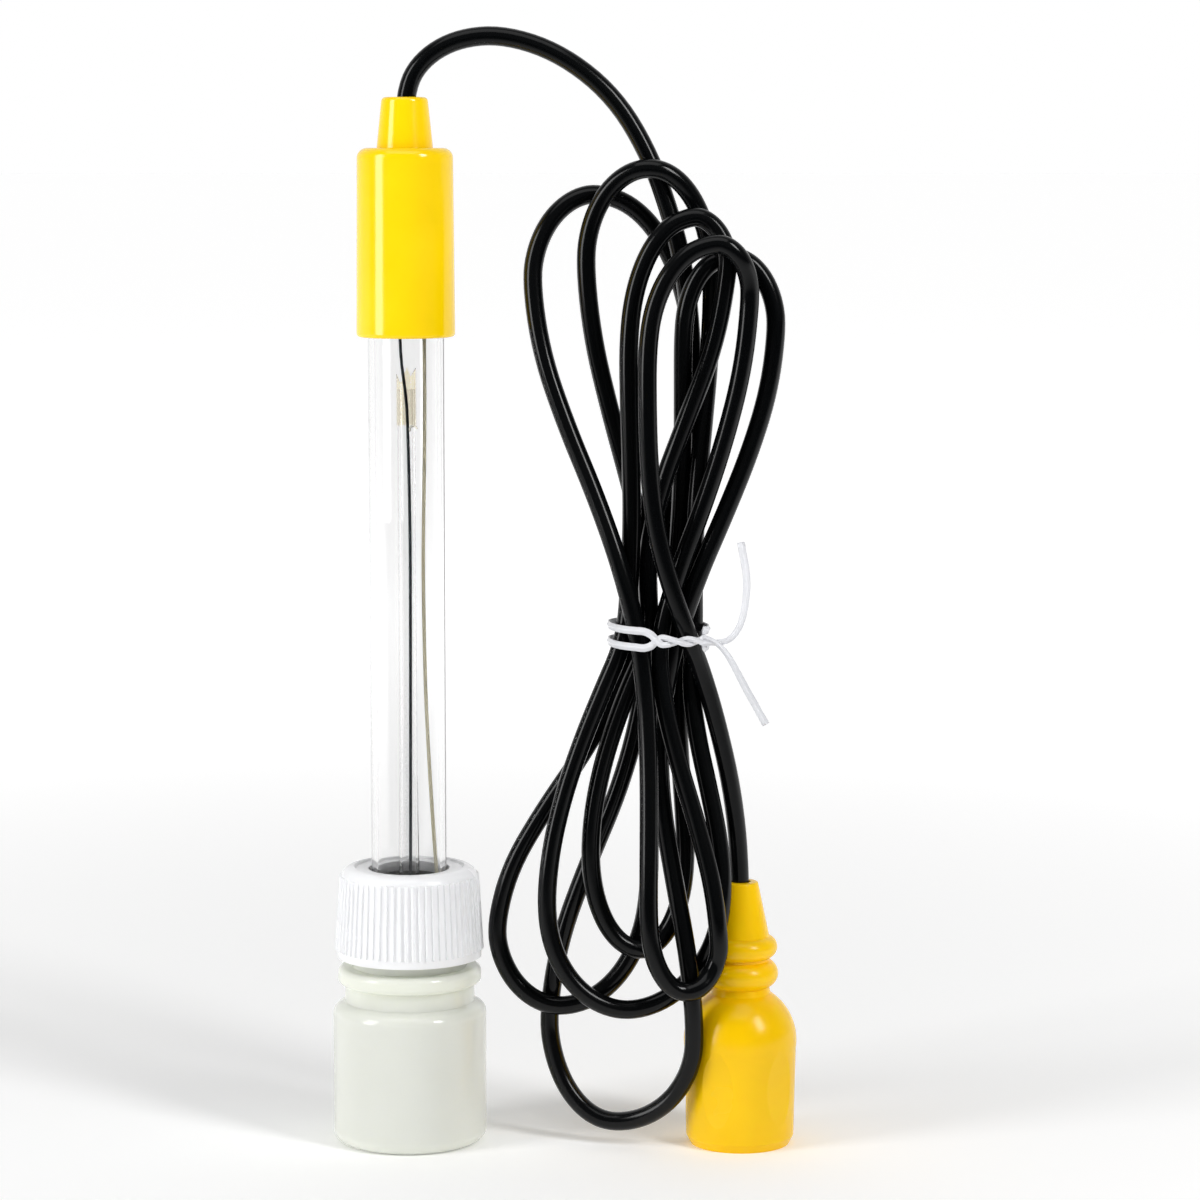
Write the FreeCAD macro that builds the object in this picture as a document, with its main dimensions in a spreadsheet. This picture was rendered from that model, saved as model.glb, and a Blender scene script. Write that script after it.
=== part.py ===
import FreeCAD, Part
import math
import os

import Sketcher
from FreeCAD import Placement, Rotation, Vector

# Redox electrode in its storage bottle, with the cord in a tied hank and the plug in a soft boot.
# Millimetres. The origin is the middle of the bottle's underside, +Z runs up the glass shaft.

doc = FreeCAD.newDocument("redox_electrode")
size = doc.addObject("Spreadsheet::Sheet", "size")

DRIVING_SIZES = {
    # Storage bottle
    "bottle_r": 12.3,
    "bottle_wall": 1.0,
    "bottle_floor": 1.3,
    "bottle_corner": 2.0,
    "foot_recess_r": 8.6,
    "foot_recess": 0.4,
    "shoulder_z": 21.9,
    "shoulder_round": 1.7,
    "neck_step": 1.2,
    "neck_rise": 1.0,
    "bead_out": 1.1,
    "bead_rise": 3.8,
    "bead_thick": 2.8,
    "bead_round": 0.95,
    "finish_r": 9.2,
    "finish_wall": 1.2,
    "finish_long": 11.0,
    # Screw cap
    "cap_above_bead": 1.6,
    "cap_thread_room": 0.9,
    "cap_wall_low": 1.45,
    "cap_wall_high": 0.7,
    "cap_round": 1.8,
    "cap_plate": 1.9,
    "cap_hole_play": 0.5,
    "cap_dish_rim": 0.2,
    "cap_dish": 0.35,
    "cap_lip": 1.3,
    "rib_count": 64,
    "rib_height": 0.38,
    "rib_foot": 0.74,
    "rib_crest": 0.34,
    "rib_top_gap": 1.4,
    # Seal under the cap
    "washer_inset": 0.3,
    "washer_hole_play": 0.3,
    "washer_thick": 1.0,
    "seal_section": 2.2,
    "seal_play": 0.05,
    "seal_above": 0.1,
    # Glass shaft, with the usual 120 mm below the head cap, its tip held clear of the bottle's floor
    "tip_up": 9.3,
    "shaft_r": 6.0,
    "shaft_wall": 1.0,
    "shaft_length": 120.0,
    "tip_floor": 1.3,
    "tip_flat": 0.3,
    "glass_in_head": 18.7,
    "frit_r": 0.5,
    "frit_above_tip": 8.0,
    "frit_inside": 0.2,
    "pin_r": 0.5,
    "pin_out": 1.8,
    "pin_in": 4.0,
    # Stem inside the shaft
    "stem_r": 1.42,
    "stem_wall": 0.47,
    "stem_top_below_head": 8.3,
    "stem_foot_up": 5.9,
    "stem_flare_rise": 5.8,
    "stem_flare_r": 2.7,
    "stem_waist_rise": 13.0,
    "stem_waist_r": 1.8,
    "stem_taper_rise": 26.0,
    "stem_foot_high": 0.7,
    "stem_foot_play": 0.05,
    "sleeve_play": 0.02,
    "sleeve_wall": 0.14,
    "sleeve_below_head": 1.9,
    "sleeve_long": 12.0,
    "sleeve_break": 5.4,
    "hook_bend_r": 0.55,
    "hook_wire_r": 0.17,
    "hook_sweep": 215.0,
    "lead_r": 0.26,
    "reference_r": 0.3,
    # Head cap
    "head_long": 29.6,
    "head_resin_gap": 0.5,
    "head_wall_low": 1.3,
    "head_wall_high": 1.05,
    "head_round": 1.6,
    "head_rim_round": 0.6,
    "head_roof": 4.0,
    "strain_low_r": 4.43,
    "strain_long": 7.9,
    "strain_high_r": 3.6,
    "strain_round": 0.7,
    "potting_depth": 8.0,
    # Cord
    "cord_r": 1.5,
    "cord_play": 0.06,
    "cord_in_neck": 3.6,
    # Where the boot stands
    "boot_x": 53.1,
    "boot_y": -2.0,
    # Plug boot from its mouth up, each rise above the one before
    "boot_mouth_r": 7.95,
    "bulb_foot_r": 8.65,
    "bulb_foot_rise": 1.4,
    "bulb_r": 8.97,
    "bulb_rise": 14.1,
    "dome_rise": 8.9,
    "dome_out": 1.42,
    "boot_waist_r": 4.9,
    "boot_waist_long": 1.1,
    "valley_r": 4.6,
    "valley_long": 0.4,
    "ring_down_long": 4.3,
    "ring_down_out": 1.45,
    "ring_up_long": 3.5,
    "ring_up_out": 1.3,
    "boot_neck_r": 2.75,
    "boot_neck_long": 8.8,
    "boot_lip": 0.35,
    "boot_cord_play": 0.1,
    "grip_count": 5,
    "grip_middle_z": 9.0,
    "grip_half": 6.9,
    "grip_depth": 0.55,
    "grip_turn": 27.0,
    "grip_run_out": 1.0,
    # Bayonet plug, coupling_low and contact_low above the boot's mouth
    "coupling_low": 2.0,
    "coupling_long": 14.6,
    "coupling_wall": 2.3,
    "coupling_flange_play": 0.35,
    "coupling_web": 1.6,
    "coupling_web_play": 0.3,
    "grip_play": 0.05,
    "gate_lip": 2.6,
    "gate_width": 2.5,
    "lug_reach": 0.9,
    "lug_room": 2.8,
    "flute_count": 20,
    "flute_r": 0.7,
    "flute_depth": 0.35,
    "contact_r": 4.03,
    "contact_wall": 0.5,
    "contact_low": 3.4,
    "contact_long": 6.1,
    "contact_root_r": 4.25,
    "contact_root_long": 1.1,
    "contact_slot": 0.45,
    "contact_slot_depth": 4.2,
    "contact_slot_count": 4,
    "contact_slot_turn": 45.0,
    "flange_r": 4.55,
    "flange_thick": 2.0,
    "plug_neck_r": 3.45,
    "collar_gap": 0.3,
    "collar_long": 4.1,
    "collar_r": 4.9,
    "crimp_stem_r": 1.45,
    "crimp_stem_bore_r": 1.1,
    "crimp_stem_long": 5.6,
    "insulator_in": 3.6,
    "insulator_long": 4.4,
    "insulator_bore_r": 1.02,
    "pin_contact_r": 0.675,
    "pin_contact_in": 0.5,
    "pin_shank_r": 1.0,
    "ferrule_wall": 0.55,
    "ferrule_long": 12.6,
    "cord_above_collar": 10.0,
    "gasket_thick": 0.9,
    "spring_thick": 1.0,
    "spring_play": 0.05,
    "plug_play": 0.3,
    # Hank and twist tie
    "waist_x": 39.6,
    "waist_y": -5.8,
    "waist_z": 82.0,
    "waist_half_x": 7.1,
    "waist_half_y": 4.7,
    "tie_width": 1.9,
    "tie_thick": 0.8,
    "tie_wire_r": 0.7,
    "knot_forward": 2.3,
    "knot_aside": 0.2,
    "hank_play": 0.5,
}

for line, (alias, number) in enumerate(DRIVING_SIZES.items(), start=1):
    size.set(f"A{line}", alias)
    size.set(f"B{line}", str(number))
    size.setAlias(f"B{line}", alias)
doc.recompute()

# Heights and radii that follow from the driving sizes, as expressions over the sheet
NECK_R = "(size.finish_r + size.neck_step)"
NECK_Z = "(size.shoulder_z + size.neck_rise)"
BEAD_R = f"({NECK_R} + size.bead_out)"
BEAD_LOW = "(size.shoulder_z + size.bead_rise)"
BEAD_HIGH = f"({BEAD_LOW} + size.bead_thick)"
MOUTH_R = "(size.finish_r - size.finish_wall)"
MOUTH_Z = f"({BEAD_HIGH} + size.finish_long)"
WASHER_R = "(size.finish_r - size.washer_inset)"
WASHER_HOLE_R = "(size.shaft_r + size.washer_hole_play)"
WASHER_TOP = f"({MOUTH_Z} + size.washer_thick)"
CAP_BORE_R = "(size.finish_r + size.cap_thread_room)"
CAP_LOW_R = f"({CAP_BORE_R} + size.cap_wall_low)"
CAP_HIGH_R = f"({CAP_BORE_R} + size.cap_wall_high)"
CAP_HOLE_R = "(size.shaft_r + size.cap_hole_play)"
CAP_LOW = f"({BEAD_HIGH} + size.cap_above_bead)"
CAP_HIGH = f"({WASHER_TOP} + size.seal_section + size.seal_above + size.cap_plate)"
CAP_DISH_R = f"({CAP_HIGH_R} - size.cap_round - size.cap_dish_rim)"
TIP = "size.tip_up"
HEAD_LOW = f"({TIP} + size.shaft_length)"
TIP_ROUND = "(size.shaft_r - size.pin_r - size.tip_flat)"
GLASS_TOP = f"({HEAD_LOW} + size.glass_in_head)"
STEM_FOOT = f"({TIP} + size.stem_foot_up)"
STEM_FLARE = f"({STEM_FOOT} + size.stem_flare_rise)"
STEM_WAIST = f"({STEM_FLARE} + size.stem_waist_rise)"
STEM_TAPER = f"({STEM_WAIST} + size.stem_taper_rise)"
STEM_TOP = f"({HEAD_LOW} - size.stem_top_below_head)"
SLEEVE_HIGH = f"({HEAD_LOW} - size.sleeve_below_head)"
SLEEVE_LOW = f"({SLEEVE_HIGH} - size.sleeve_long)"
HEAD_BORE_R = "(size.shaft_r + size.head_resin_gap)"
HEAD_LOW_R = f"({HEAD_BORE_R} + size.head_wall_low)"
HEAD_HIGH_R = f"({HEAD_BORE_R} + size.head_wall_high)"
HEAD_HIGH = f"({HEAD_LOW} + size.head_long)"
STRAIN_HIGH = f"({HEAD_HIGH} + size.strain_long)"
CORD_START = f"({STRAIN_HIGH} - size.cord_in_neck)"
BULB_FOOT = "size.bulb_foot_rise"
BULB_WIDEST = f"({BULB_FOOT} + size.bulb_rise)"
DOME_HIGH = f"({BULB_WIDEST} + size.dome_rise)"
DOME_SPAN = "((size.bulb_r - size.boot_waist_r) ^ 2 + size.dome_rise ^ 2) / 4"
DOME_BEND = f"({DOME_SPAN} + size.dome_out ^ 2) / (2 * size.dome_out)"
RING_DOWN_LOW = f"({DOME_HIGH} + size.boot_waist_long)"
RING_DOWN_HIGH = f"({RING_DOWN_LOW} + size.ring_down_long)"
RING_DOWN_BEND = "((size.ring_down_long / 2) ^ 2 + size.ring_down_out ^ 2) / (2 * size.ring_down_out)"
RING_UP_LOW = f"({RING_DOWN_HIGH} + size.valley_long)"
RING_UP_HIGH = f"({RING_UP_LOW} + size.ring_up_long)"
RING_UP_BEND = "((size.ring_up_long / 2) ^ 2 + size.ring_up_out ^ 2) / (2 * size.ring_up_out)"
BOOT_HIGH = f"({RING_UP_HIGH} + size.boot_neck_long)"
COUPLING_BORE_R = "(size.flange_r + size.coupling_flange_play)"
COUPLING_R = f"({COUPLING_BORE_R} + size.coupling_wall)"
COUPLING_HIGH = "(size.coupling_low + size.coupling_long)"
WEB_R = "(size.plug_neck_r + size.coupling_web_play)"
CONTACT_HIGH = "(size.contact_low + size.contact_long)"
FLANGE_LOW = f"({CONTACT_HIGH} + size.contact_root_long)"
FLANGE_HIGH = f"({FLANGE_LOW} + size.flange_thick)"
COLLAR_LOW = f"({COUPLING_HIGH} + size.collar_gap)"
COLLAR_HIGH = f"({COLLAR_LOW} + size.collar_long)"
CRIMP_STEM_HIGH = f"({COLLAR_HIGH} + size.crimp_stem_long)"
INSULATOR_LOW = "(size.contact_low + size.insulator_in)"
INSULATOR_HIGH = f"({INSULATOR_LOW} + size.insulator_long)"
PIN_CONTACT_LOW = "(size.contact_low + size.pin_contact_in)"
FERRULE_HIGH = f"({COLLAR_HIGH} + size.ferrule_long)"
CORD_END = f"({COLLAR_HIGH} + size.cord_above_collar)"

NODES = []


def number(text):
    """What an expression over the sheet is worth now."""
    return float(size.evalExpression(text))


def named_body(name):
    body = doc.addObject("PartDesign::Body", name)
    body.Label = name
    NODES.append(body)
    return body


def origin_feature(body, role):
    return next(part for part in body.Origin.OriginFeatures if part.Role == role)


def attached_sketch(body, name, plane):
    sketch = body.newObject("Sketcher::SketchObject", name)
    sketch.AttachmentSupport = [(origin_feature(body, plane), "")]
    sketch.MapMode = "FlatFace"
    return sketch


def pin_corner(sketch, line, end, kind, text):
    """Ties one coordinate of a corner to the sheet, or to the axis where it is nought."""
    if text == "0":
        axis = -2 if kind == "DistanceX" else -1
        sketch.addConstraint(Sketcher.Constraint("PointOnObject", line, end, axis))
        return
    index = sketch.addConstraint(Sketcher.Constraint(kind, -1, 1, line, end, number(text)))
    sketch.setExpression(f"Constraints[{index}]", text)


def side(start, end, bend):
    """A straight line, or an arc of the given radius that bulges away from the axis."""
    if bend is None:
        return Part.LineSegment(start, end)
    radius = number(bend)
    chord = end - start
    rise = radius - math.sqrt(radius ** 2 - (chord.Length / 2) ** 2)
    outward = Vector(chord.y, -chord.x, 0).normalize()
    return Part.Arc(start, start + chord / 2 + outward * rise, end)


def outline(body, name, corners, plane="XZ_Plane"):
    """Closed sketch: each corner is a pair of expressions, with a radius where an arc leaves it."""
    sketch = attached_sketch(body, name, plane)
    places = [Vector(number(corner[0]), number(corner[1]), 0) for corner in corners]
    bends = [corner[2] if len(corner) > 2 else None for corner in corners]
    count = len(places)
    ends = []
    for line in range(count):
        sketch.addGeometry(side(places[line], places[(line + 1) % count], bends[line]), False)
        starts_here = (sketch.Geometry[line].StartPoint - places[line]).Length < 1e-6
        ends.append((1, 2) if starts_here else (2, 1))
    for line in range(count):
        after = (line + 1) % count
        sketch.addConstraint(Sketcher.Constraint("Coincident", line, ends[line][1], after, ends[after][0]))
    for line, corner in enumerate(corners):
        pin_corner(sketch, line, ends[line][0], "DistanceX", corner[0])
        pin_corner(sketch, line, ends[line][0], "DistanceY", corner[1])
        if bends[line] is not None:
            index = sketch.addConstraint(Sketcher.Constraint("Radius", line, number(bends[line])))
            sketch.setExpression(f"Constraints[{index}]", bends[line])
    return sketch


def circle_sketch(body, name, plane, across, up, radius):
    """One circle, its centre and radius bound to the sheet."""
    sketch = attached_sketch(body, name, plane)
    centre = Vector(number(across), number(up), 0)
    sketch.addGeometry(Part.Circle(centre, Vector(0, 0, 1), number(radius)), False)
    for kind, text in (("DistanceX", across), ("DistanceY", up)):
        if text == "0":
            axis = -2 if kind == "DistanceX" else -1
            sketch.addConstraint(Sketcher.Constraint("PointOnObject", 0, 3, axis))
        else:
            index = sketch.addConstraint(Sketcher.Constraint(kind, -1, 1, 0, 3, number(text)))
            sketch.setExpression(f"Constraints[{index}]", text)
    index = sketch.addConstraint(Sketcher.Constraint("Radius", 0, number(radius)))
    sketch.setExpression(f"Constraints[{index}]", radius)
    return sketch


def turned(name, corners):
    """Body made by turning a half section about the Z axis."""
    body = named_body(name)
    sketch = outline(body, name + "_section", corners)
    turn = body.newObject("PartDesign::Revolution", name + "_turn")
    turn.Profile = sketch
    turn.ReferenceAxis = (sketch, ["V_Axis"])
    turn.Angle = 360
    body.Tip = turn
    doc.recompute()
    return body


def round_rims(body, label, radius, rims):
    """Rounds the circular edges found at the given radius and height."""
    edges = []
    for rim_r, rim_z in rims:
        for index, edge in enumerate(body.Shape.Edges, start=1):
            curve = edge.Curve
            if not isinstance(curve, Part.Circle):
                continue
            near_r = abs(curve.Radius - number(rim_r)) < 1e-4
            near_z = abs(curve.Center.z - number(rim_z)) < 1e-4
            if near_r and near_z:
                edges.append(f"Edge{index}")
    base = body.Tip
    feature = body.newObject("PartDesign::Fillet", f"{body.Name}_{label}")
    feature.Base = (base, edges)
    feature.setExpression("Radius", radius)
    body.Tip = feature
    doc.recompute()


def repeat_round(body, feature, label, count):
    """Copies a feature round the body's Z axis."""
    pattern = body.newObject("PartDesign::PolarPattern", f"{body.Name}_{label}")
    pattern.Originals = [feature]
    pattern.Axis = (origin_feature(body, "Z_Axis"), [""])
    pattern.Angle = 360
    pattern.setExpression("Occurrences", count)
    body.Tip = pattern
    doc.recompute()


def cut_through(body, sketch, label, length, both_ways=True, reverse=False):
    """Pocket whose depth is bound to the sheet, checked to have taken something away."""
    before = body.Shape.Volume
    feature = body.newObject("PartDesign::Pocket", f"{body.Name}_{label}")
    feature.Profile = sketch
    feature.Type = "Length"
    feature.setExpression("Length", length)
    feature.Midplane = both_ways
    feature.Reversed = reverse
    body.Tip = feature
    doc.recompute()
    if body.Shape.Volume > before - 1e-4:
        raise RuntimeError(f"{body.Name}: {label} cuts nothing")
    return feature


def stand_at_boot(item):
    """Moves a piece of the plug to where the boot stands."""
    item.setExpression("Placement.Base.x", "size.boot_x")
    item.setExpression("Placement.Base.y", "size.boot_y")


def shape_feature(name, shape):
    """Document object for a shape that sketches and primitives don't suit."""
    feature = doc.addObject("Part::Feature", name)
    feature.Label = name
    feature.Shape = shape
    NODES.append(feature)
    return feature


def make_bottle():
    body = turned("bottle", [
        ("0", "size.foot_recess"),
        ("size.foot_recess_r", "size.foot_recess"),
        ("size.foot_recess_r", "0"),
        ("size.bottle_r", "0"),
        ("size.bottle_r", "size.shoulder_z"),
        (NECK_R, NECK_Z),
        (NECK_R, BEAD_LOW),
        (BEAD_R, BEAD_LOW),
        (BEAD_R, BEAD_HIGH),
        ("size.finish_r", BEAD_HIGH),
        ("size.finish_r", MOUTH_Z),
        (MOUTH_R, MOUTH_Z),
        (MOUTH_R, BEAD_LOW),
        (f"{NECK_R} - size.bottle_wall", NECK_Z),
        ("size.bottle_r - size.bottle_wall", "size.shoulder_z - size.bottle_wall"),
        ("size.bottle_r - size.bottle_wall", "size.bottle_floor + size.foot_recess"),
        ("0", "size.bottle_floor + size.foot_recess"),
    ])
    round_rims(body, "corner", "size.bottle_corner", [("size.bottle_r", "0")])
    round_rims(body, "shoulder", "size.shoulder_round", [("size.bottle_r", "size.shoulder_z")])
    round_rims(body, "bead", "size.bead_round",
               [(BEAD_R, BEAD_LOW), (BEAD_R, BEAD_HIGH)])


def make_bottle_cap():
    body = turned("bottle_cap", [
        (CAP_HOLE_R, f"{CAP_HIGH} - size.cap_plate"),
        (CAP_BORE_R, f"{CAP_HIGH} - size.cap_plate"),
        (CAP_BORE_R, f"{CAP_LOW} + size.cap_lip"),
        (f"{CAP_LOW_R} - size.cap_lip / 2", CAP_LOW),
        (CAP_LOW_R, CAP_LOW),
        (CAP_LOW_R, f"{CAP_LOW} + size.cap_lip"),
        (CAP_HIGH_R, CAP_HIGH),
        (CAP_DISH_R, CAP_HIGH),
        (f"{CAP_DISH_R} - size.cap_dish", f"{CAP_HIGH} - size.cap_dish"),
        (CAP_HOLE_R, f"{CAP_HIGH} - size.cap_dish"),
    ])
    round_rims(body, "top", "size.cap_round", [(CAP_HIGH_R, CAP_HIGH)])
    rib = body.newObject("PartDesign::AdditiveLoft", "bottle_cap_rib")
    foot = rib_section(body, "bottle_cap_rib_foot", CAP_LOW_R, f"{CAP_LOW} + size.cap_lip")
    crest = rib_section(body, "bottle_cap_rib_head", CAP_HIGH_R, f"{CAP_HIGH} - size.rib_top_gap")
    rib.Profile = foot
    rib.Sections = [crest]
    rib.Ruled = True
    body.Tip = rib
    doc.recompute()
    repeat_round(body, rib, "ribs", "size.rib_count")


def rib_section(body, name, wall_r, height):
    """Cross-section of one rib, sunk a little into the cap's wall."""
    inner = f"{wall_r} - size.rib_height"
    outer = f"{wall_r} + size.rib_height"
    sketch = outline(body, name, [
        (inner, "size.rib_foot / 2"),
        (inner, "-size.rib_foot / 2"),
        (outer, "-size.rib_crest / 2"),
        (outer, "size.rib_crest / 2"),
    ], plane="XY_Plane")
    sketch.setExpression("AttachmentOffset.Base.z", height)
    return sketch


def make_seals():
    turned("seal_washer", [
        (WASHER_HOLE_R, MOUTH_Z),
        (WASHER_R, MOUTH_Z),
        (WASHER_R, WASHER_TOP),
        (WASHER_HOLE_R, WASHER_TOP),
    ])
    ring = doc.addObject("Part::Torus", "seal_ring")
    ring.Label = "seal_ring"
    ring.setExpression("Radius1", "size.shaft_r + size.seal_play + size.seal_section / 2")
    ring.setExpression("Radius2", "size.seal_section / 2")
    ring.setExpression("Placement.Base.z", f"{WASHER_TOP} + size.seal_section / 2")
    NODES.append(ring)


def make_glass_body():
    body = turned("glass_body", [
        ("size.pin_r", TIP),
        ("size.shaft_r", TIP),
        ("size.shaft_r", GLASS_TOP),
        ("size.shaft_r - size.shaft_wall", GLASS_TOP),
        ("size.shaft_r - size.shaft_wall", f"{TIP} + size.tip_floor"),
        ("size.pin_r", f"{TIP} + size.tip_floor"),
    ])
    round_rims(body, "tip", TIP_ROUND, [("size.shaft_r", TIP)])
    round_rims(body, "inner_tip", f"{TIP_ROUND} - size.shaft_wall",
               [("size.shaft_r - size.shaft_wall", f"{TIP} + size.tip_floor")])
    hole = circle_sketch(body, "glass_body_frit", "YZ_Plane", "0", f"{TIP} + size.frit_above_tip",
                         "size.frit_r")
    cut_through(body, hole, "frit_hole", "2 * size.shaft_r", both_ways=False, reverse=True)


def make_inner_stem():
    foot_r = "size.shaft_r - size.shaft_wall - size.stem_foot_play"
    turned("inner_stem", [
        ("size.stem_r - size.stem_wall", STEM_TAPER),
        ("size.stem_waist_r - size.stem_wall", STEM_WAIST),
        ("size.stem_flare_r - size.stem_wall", STEM_FLARE),
        (f"{foot_r} - size.stem_wall", STEM_FOOT),
        (foot_r, STEM_FOOT),
        (foot_r, f"{STEM_FOOT} + size.stem_foot_high"),
        ("size.stem_flare_r", STEM_FLARE),
        ("size.stem_waist_r", STEM_WAIST),
        ("size.stem_r", STEM_TAPER),
        ("size.stem_r", STEM_TOP),
        ("size.stem_r - size.stem_wall", STEM_TOP),
    ])


# The sleeve's broken top edge, from left to right: shares of the stem's radius and of the break's depth
BROKEN_EDGE = [(-2.0, 0.2), (-0.6, 1.0), (0.1, 0.5), (0.5, 0.8), (2.0, 0.1)]


def make_stem_sleeve():
    """Amber sleeve whose top edge is broken into two uneven points."""
    inner = "size.stem_r + size.sleeve_play"
    outer = "size.stem_r + size.sleeve_play + size.sleeve_wall"
    body = turned("stem_sleeve", [
        (inner, SLEEVE_LOW),
        (outer, SLEEVE_LOW),
        (outer, SLEEVE_HIGH),
        (inner, SLEEVE_HIGH),
    ])
    edge = [(f"{across} * size.stem_r", f"{SLEEVE_HIGH} - {depth} * size.sleeve_break")
            for across, depth in BROKEN_EDGE]
    above = f"{SLEEVE_HIGH} + size.sleeve_break"
    broken = outline(body, "stem_sleeve_break",
                     [*edge, ("2 * size.stem_r", above), ("-2 * size.stem_r", above)])
    cut_through(body, broken, "broken_edge", "4 * size.stem_r")


def make_stem_hook():
    hook = doc.addObject("Part::Torus", "stem_hook")
    hook.Label = "stem_hook"
    hook.setExpression("Angle3", "size.hook_sweep")
    hook.setExpression("Radius1", "size.hook_bend_r")
    hook.setExpression("Radius2", "size.hook_wire_r")
    hook.Placement = Placement(Vector(0, 0, 0), Rotation(Vector(1, 0, 0), 90))
    hook.setExpression("Placement.Base.x", "size.stem_r - size.hook_bend_r / 2")
    hook.setExpression("Placement.Base.y",
                       "-(size.stem_r + size.sleeve_play + size.sleeve_wall + size.hook_wire_r)")
    hook.setExpression("Placement.Base.z", f"{SLEEVE_LOW} - size.hook_bend_r")
    NODES.append(hook)


def make_tip_pieces():
    pin = doc.addObject("Part::Cylinder", "sensor_pin")
    pin.Label = "sensor_pin"
    pin.setExpression("Radius", "size.pin_r")
    pin.setExpression("Height", "size.pin_out + size.tip_floor + size.pin_in")
    pin.setExpression("Placement.Base.z", f"{TIP} - size.pin_out")
    NODES.append(pin)
    frit = doc.addObject("Part::Cylinder", "junction_frit")
    frit.Label = "junction_frit"
    frit.Placement = Placement(Vector(0, 0, 0), Rotation(Vector(0, 1, 0), 90))
    frit.setExpression("Radius", "size.frit_r")
    frit.setExpression("Height", "size.shaft_wall + size.frit_inside")
    frit.setExpression("Placement.Base.x", "size.shaft_r - size.shaft_wall - size.frit_inside")
    frit.setExpression("Placement.Base.z", f"{TIP} + size.frit_above_tip")
    NODES.append(frit)


def make_head():
    inside_top = f"{HEAD_HIGH} - size.head_roof"
    body = turned("head_cap", [
        (HEAD_BORE_R, HEAD_LOW),
        (HEAD_LOW_R, HEAD_LOW),
        (HEAD_HIGH_R, HEAD_HIGH),
        ("size.strain_low_r", HEAD_HIGH),
        ("size.strain_high_r", STRAIN_HIGH),
        ("size.cord_r + size.cord_play", STRAIN_HIGH),
        ("size.cord_r + size.cord_play", inside_top),
        (HEAD_BORE_R, inside_top),
    ])
    round_rims(body, "shoulder", "size.head_round", [(HEAD_HIGH_R, HEAD_HIGH)])
    round_rims(body, "neck_top", "size.strain_round", [("size.strain_high_r", STRAIN_HIGH)])
    round_rims(body, "rim", "size.head_rim_round", [(HEAD_LOW_R, HEAD_LOW)])
    turned("potting", [
        ("0", f"{GLASS_TOP} - size.potting_depth"),
        ("size.shaft_r - size.shaft_wall", f"{GLASS_TOP} - size.potting_depth"),
        ("size.shaft_r - size.shaft_wall", GLASS_TOP),
        ("size.shaft_r", GLASS_TOP),
        ("size.shaft_r", f"{HEAD_LOW} + size.head_rim_round"),
        (HEAD_BORE_R, f"{HEAD_LOW} + size.head_rim_round"),
        (HEAD_BORE_R, inside_top),
        ("size.cord_r", inside_top),
        ("size.cord_r", CORD_START),
        ("0", CORD_START),
    ])


def route_wire(points):
    """Straight runs joined by tangent arcs as large as the runs allow, and the arcs' radii."""
    edges = []
    radii = []
    start = points[0]
    for before, corner, after in zip(points, points[1:], points[2:]):
        run_in = corner - before
        run_out = after - corner
        half_turn = run_in.getAngle(run_out) / 2
        setback = 0.45 * min(run_in.Length, run_out.Length)
        radius = setback / math.tan(half_turn)
        way_in = Vector(run_in).normalize()
        way_out = Vector(run_out).normalize()
        arc_start = corner - way_in * setback
        arc_end = corner + way_out * setback
        to_middle = (way_out - way_in).normalize()
        arc_middle = corner + to_middle * (radius / math.cos(half_turn) - radius)
        edges.append(Part.LineSegment(start, arc_start).toShape())
        edges.append(Part.Arc(arc_start, arc_middle, arc_end).toShape())
        radii.append(radius)
        start = arc_end
    edges.append(Part.LineSegment(start, points[-1]).toShape())
    return Part.Wire(edges), radii


def tube(name, points, radius):
    """Round tube along a route, its volume held against section times length."""
    wire, radii = route_wire(points)
    way = points[1] - points[0]
    section = Part.Wire([Part.makeCircle(radius, points[0], way)])
    solid = wire.makePipeShell([section], True, False)
    expected = math.pi * radius ** 2 * wire.Length
    print(f"{name}: length {wire.Length:.1f}, tightest bend {min(radii):.1f}, "
          f"volume {solid.Volume / expected:.4f} of section times length")
    return solid


def make_wires():
    lead_top = number(f"{GLASS_TOP} - size.potting_depth")
    pin_top = number(f"{TIP} + size.tip_floor + size.pin_in")
    stem_foot = Vector(0, 0, number(STEM_FOOT))
    stem_top = Vector(0, 0, number(STEM_TOP))
    lead = [
        Vector(0.0, 0, pin_top),
        stem_foot + Vector(0.35, 0, 44.8),
        stem_top + Vector(0.5, 0, -21),
        stem_top + Vector(0.1, 0, -2),
        stem_top + Vector(-0.9, 0, 5),
        Vector(-1.1, 0, lead_top),
    ]
    shape_feature("sensor_lead", tube("sensor_lead", lead, size.lead_r))
    reference = [
        stem_foot + Vector(4.5, -0.5, 26.8),
        stem_foot + Vector(3.5, -0.4, 41.8),
        stem_foot + Vector(2.8, -0.3, 56.8),
        stem_top + Vector(2.45, 0, -29),
        stem_top + Vector(2.95, 0, -4),
        Vector(2.8, 0, lead_top),
    ]
    shape_feature("reference_wire", tube("reference_wire", reference, size.reference_r))


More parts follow.
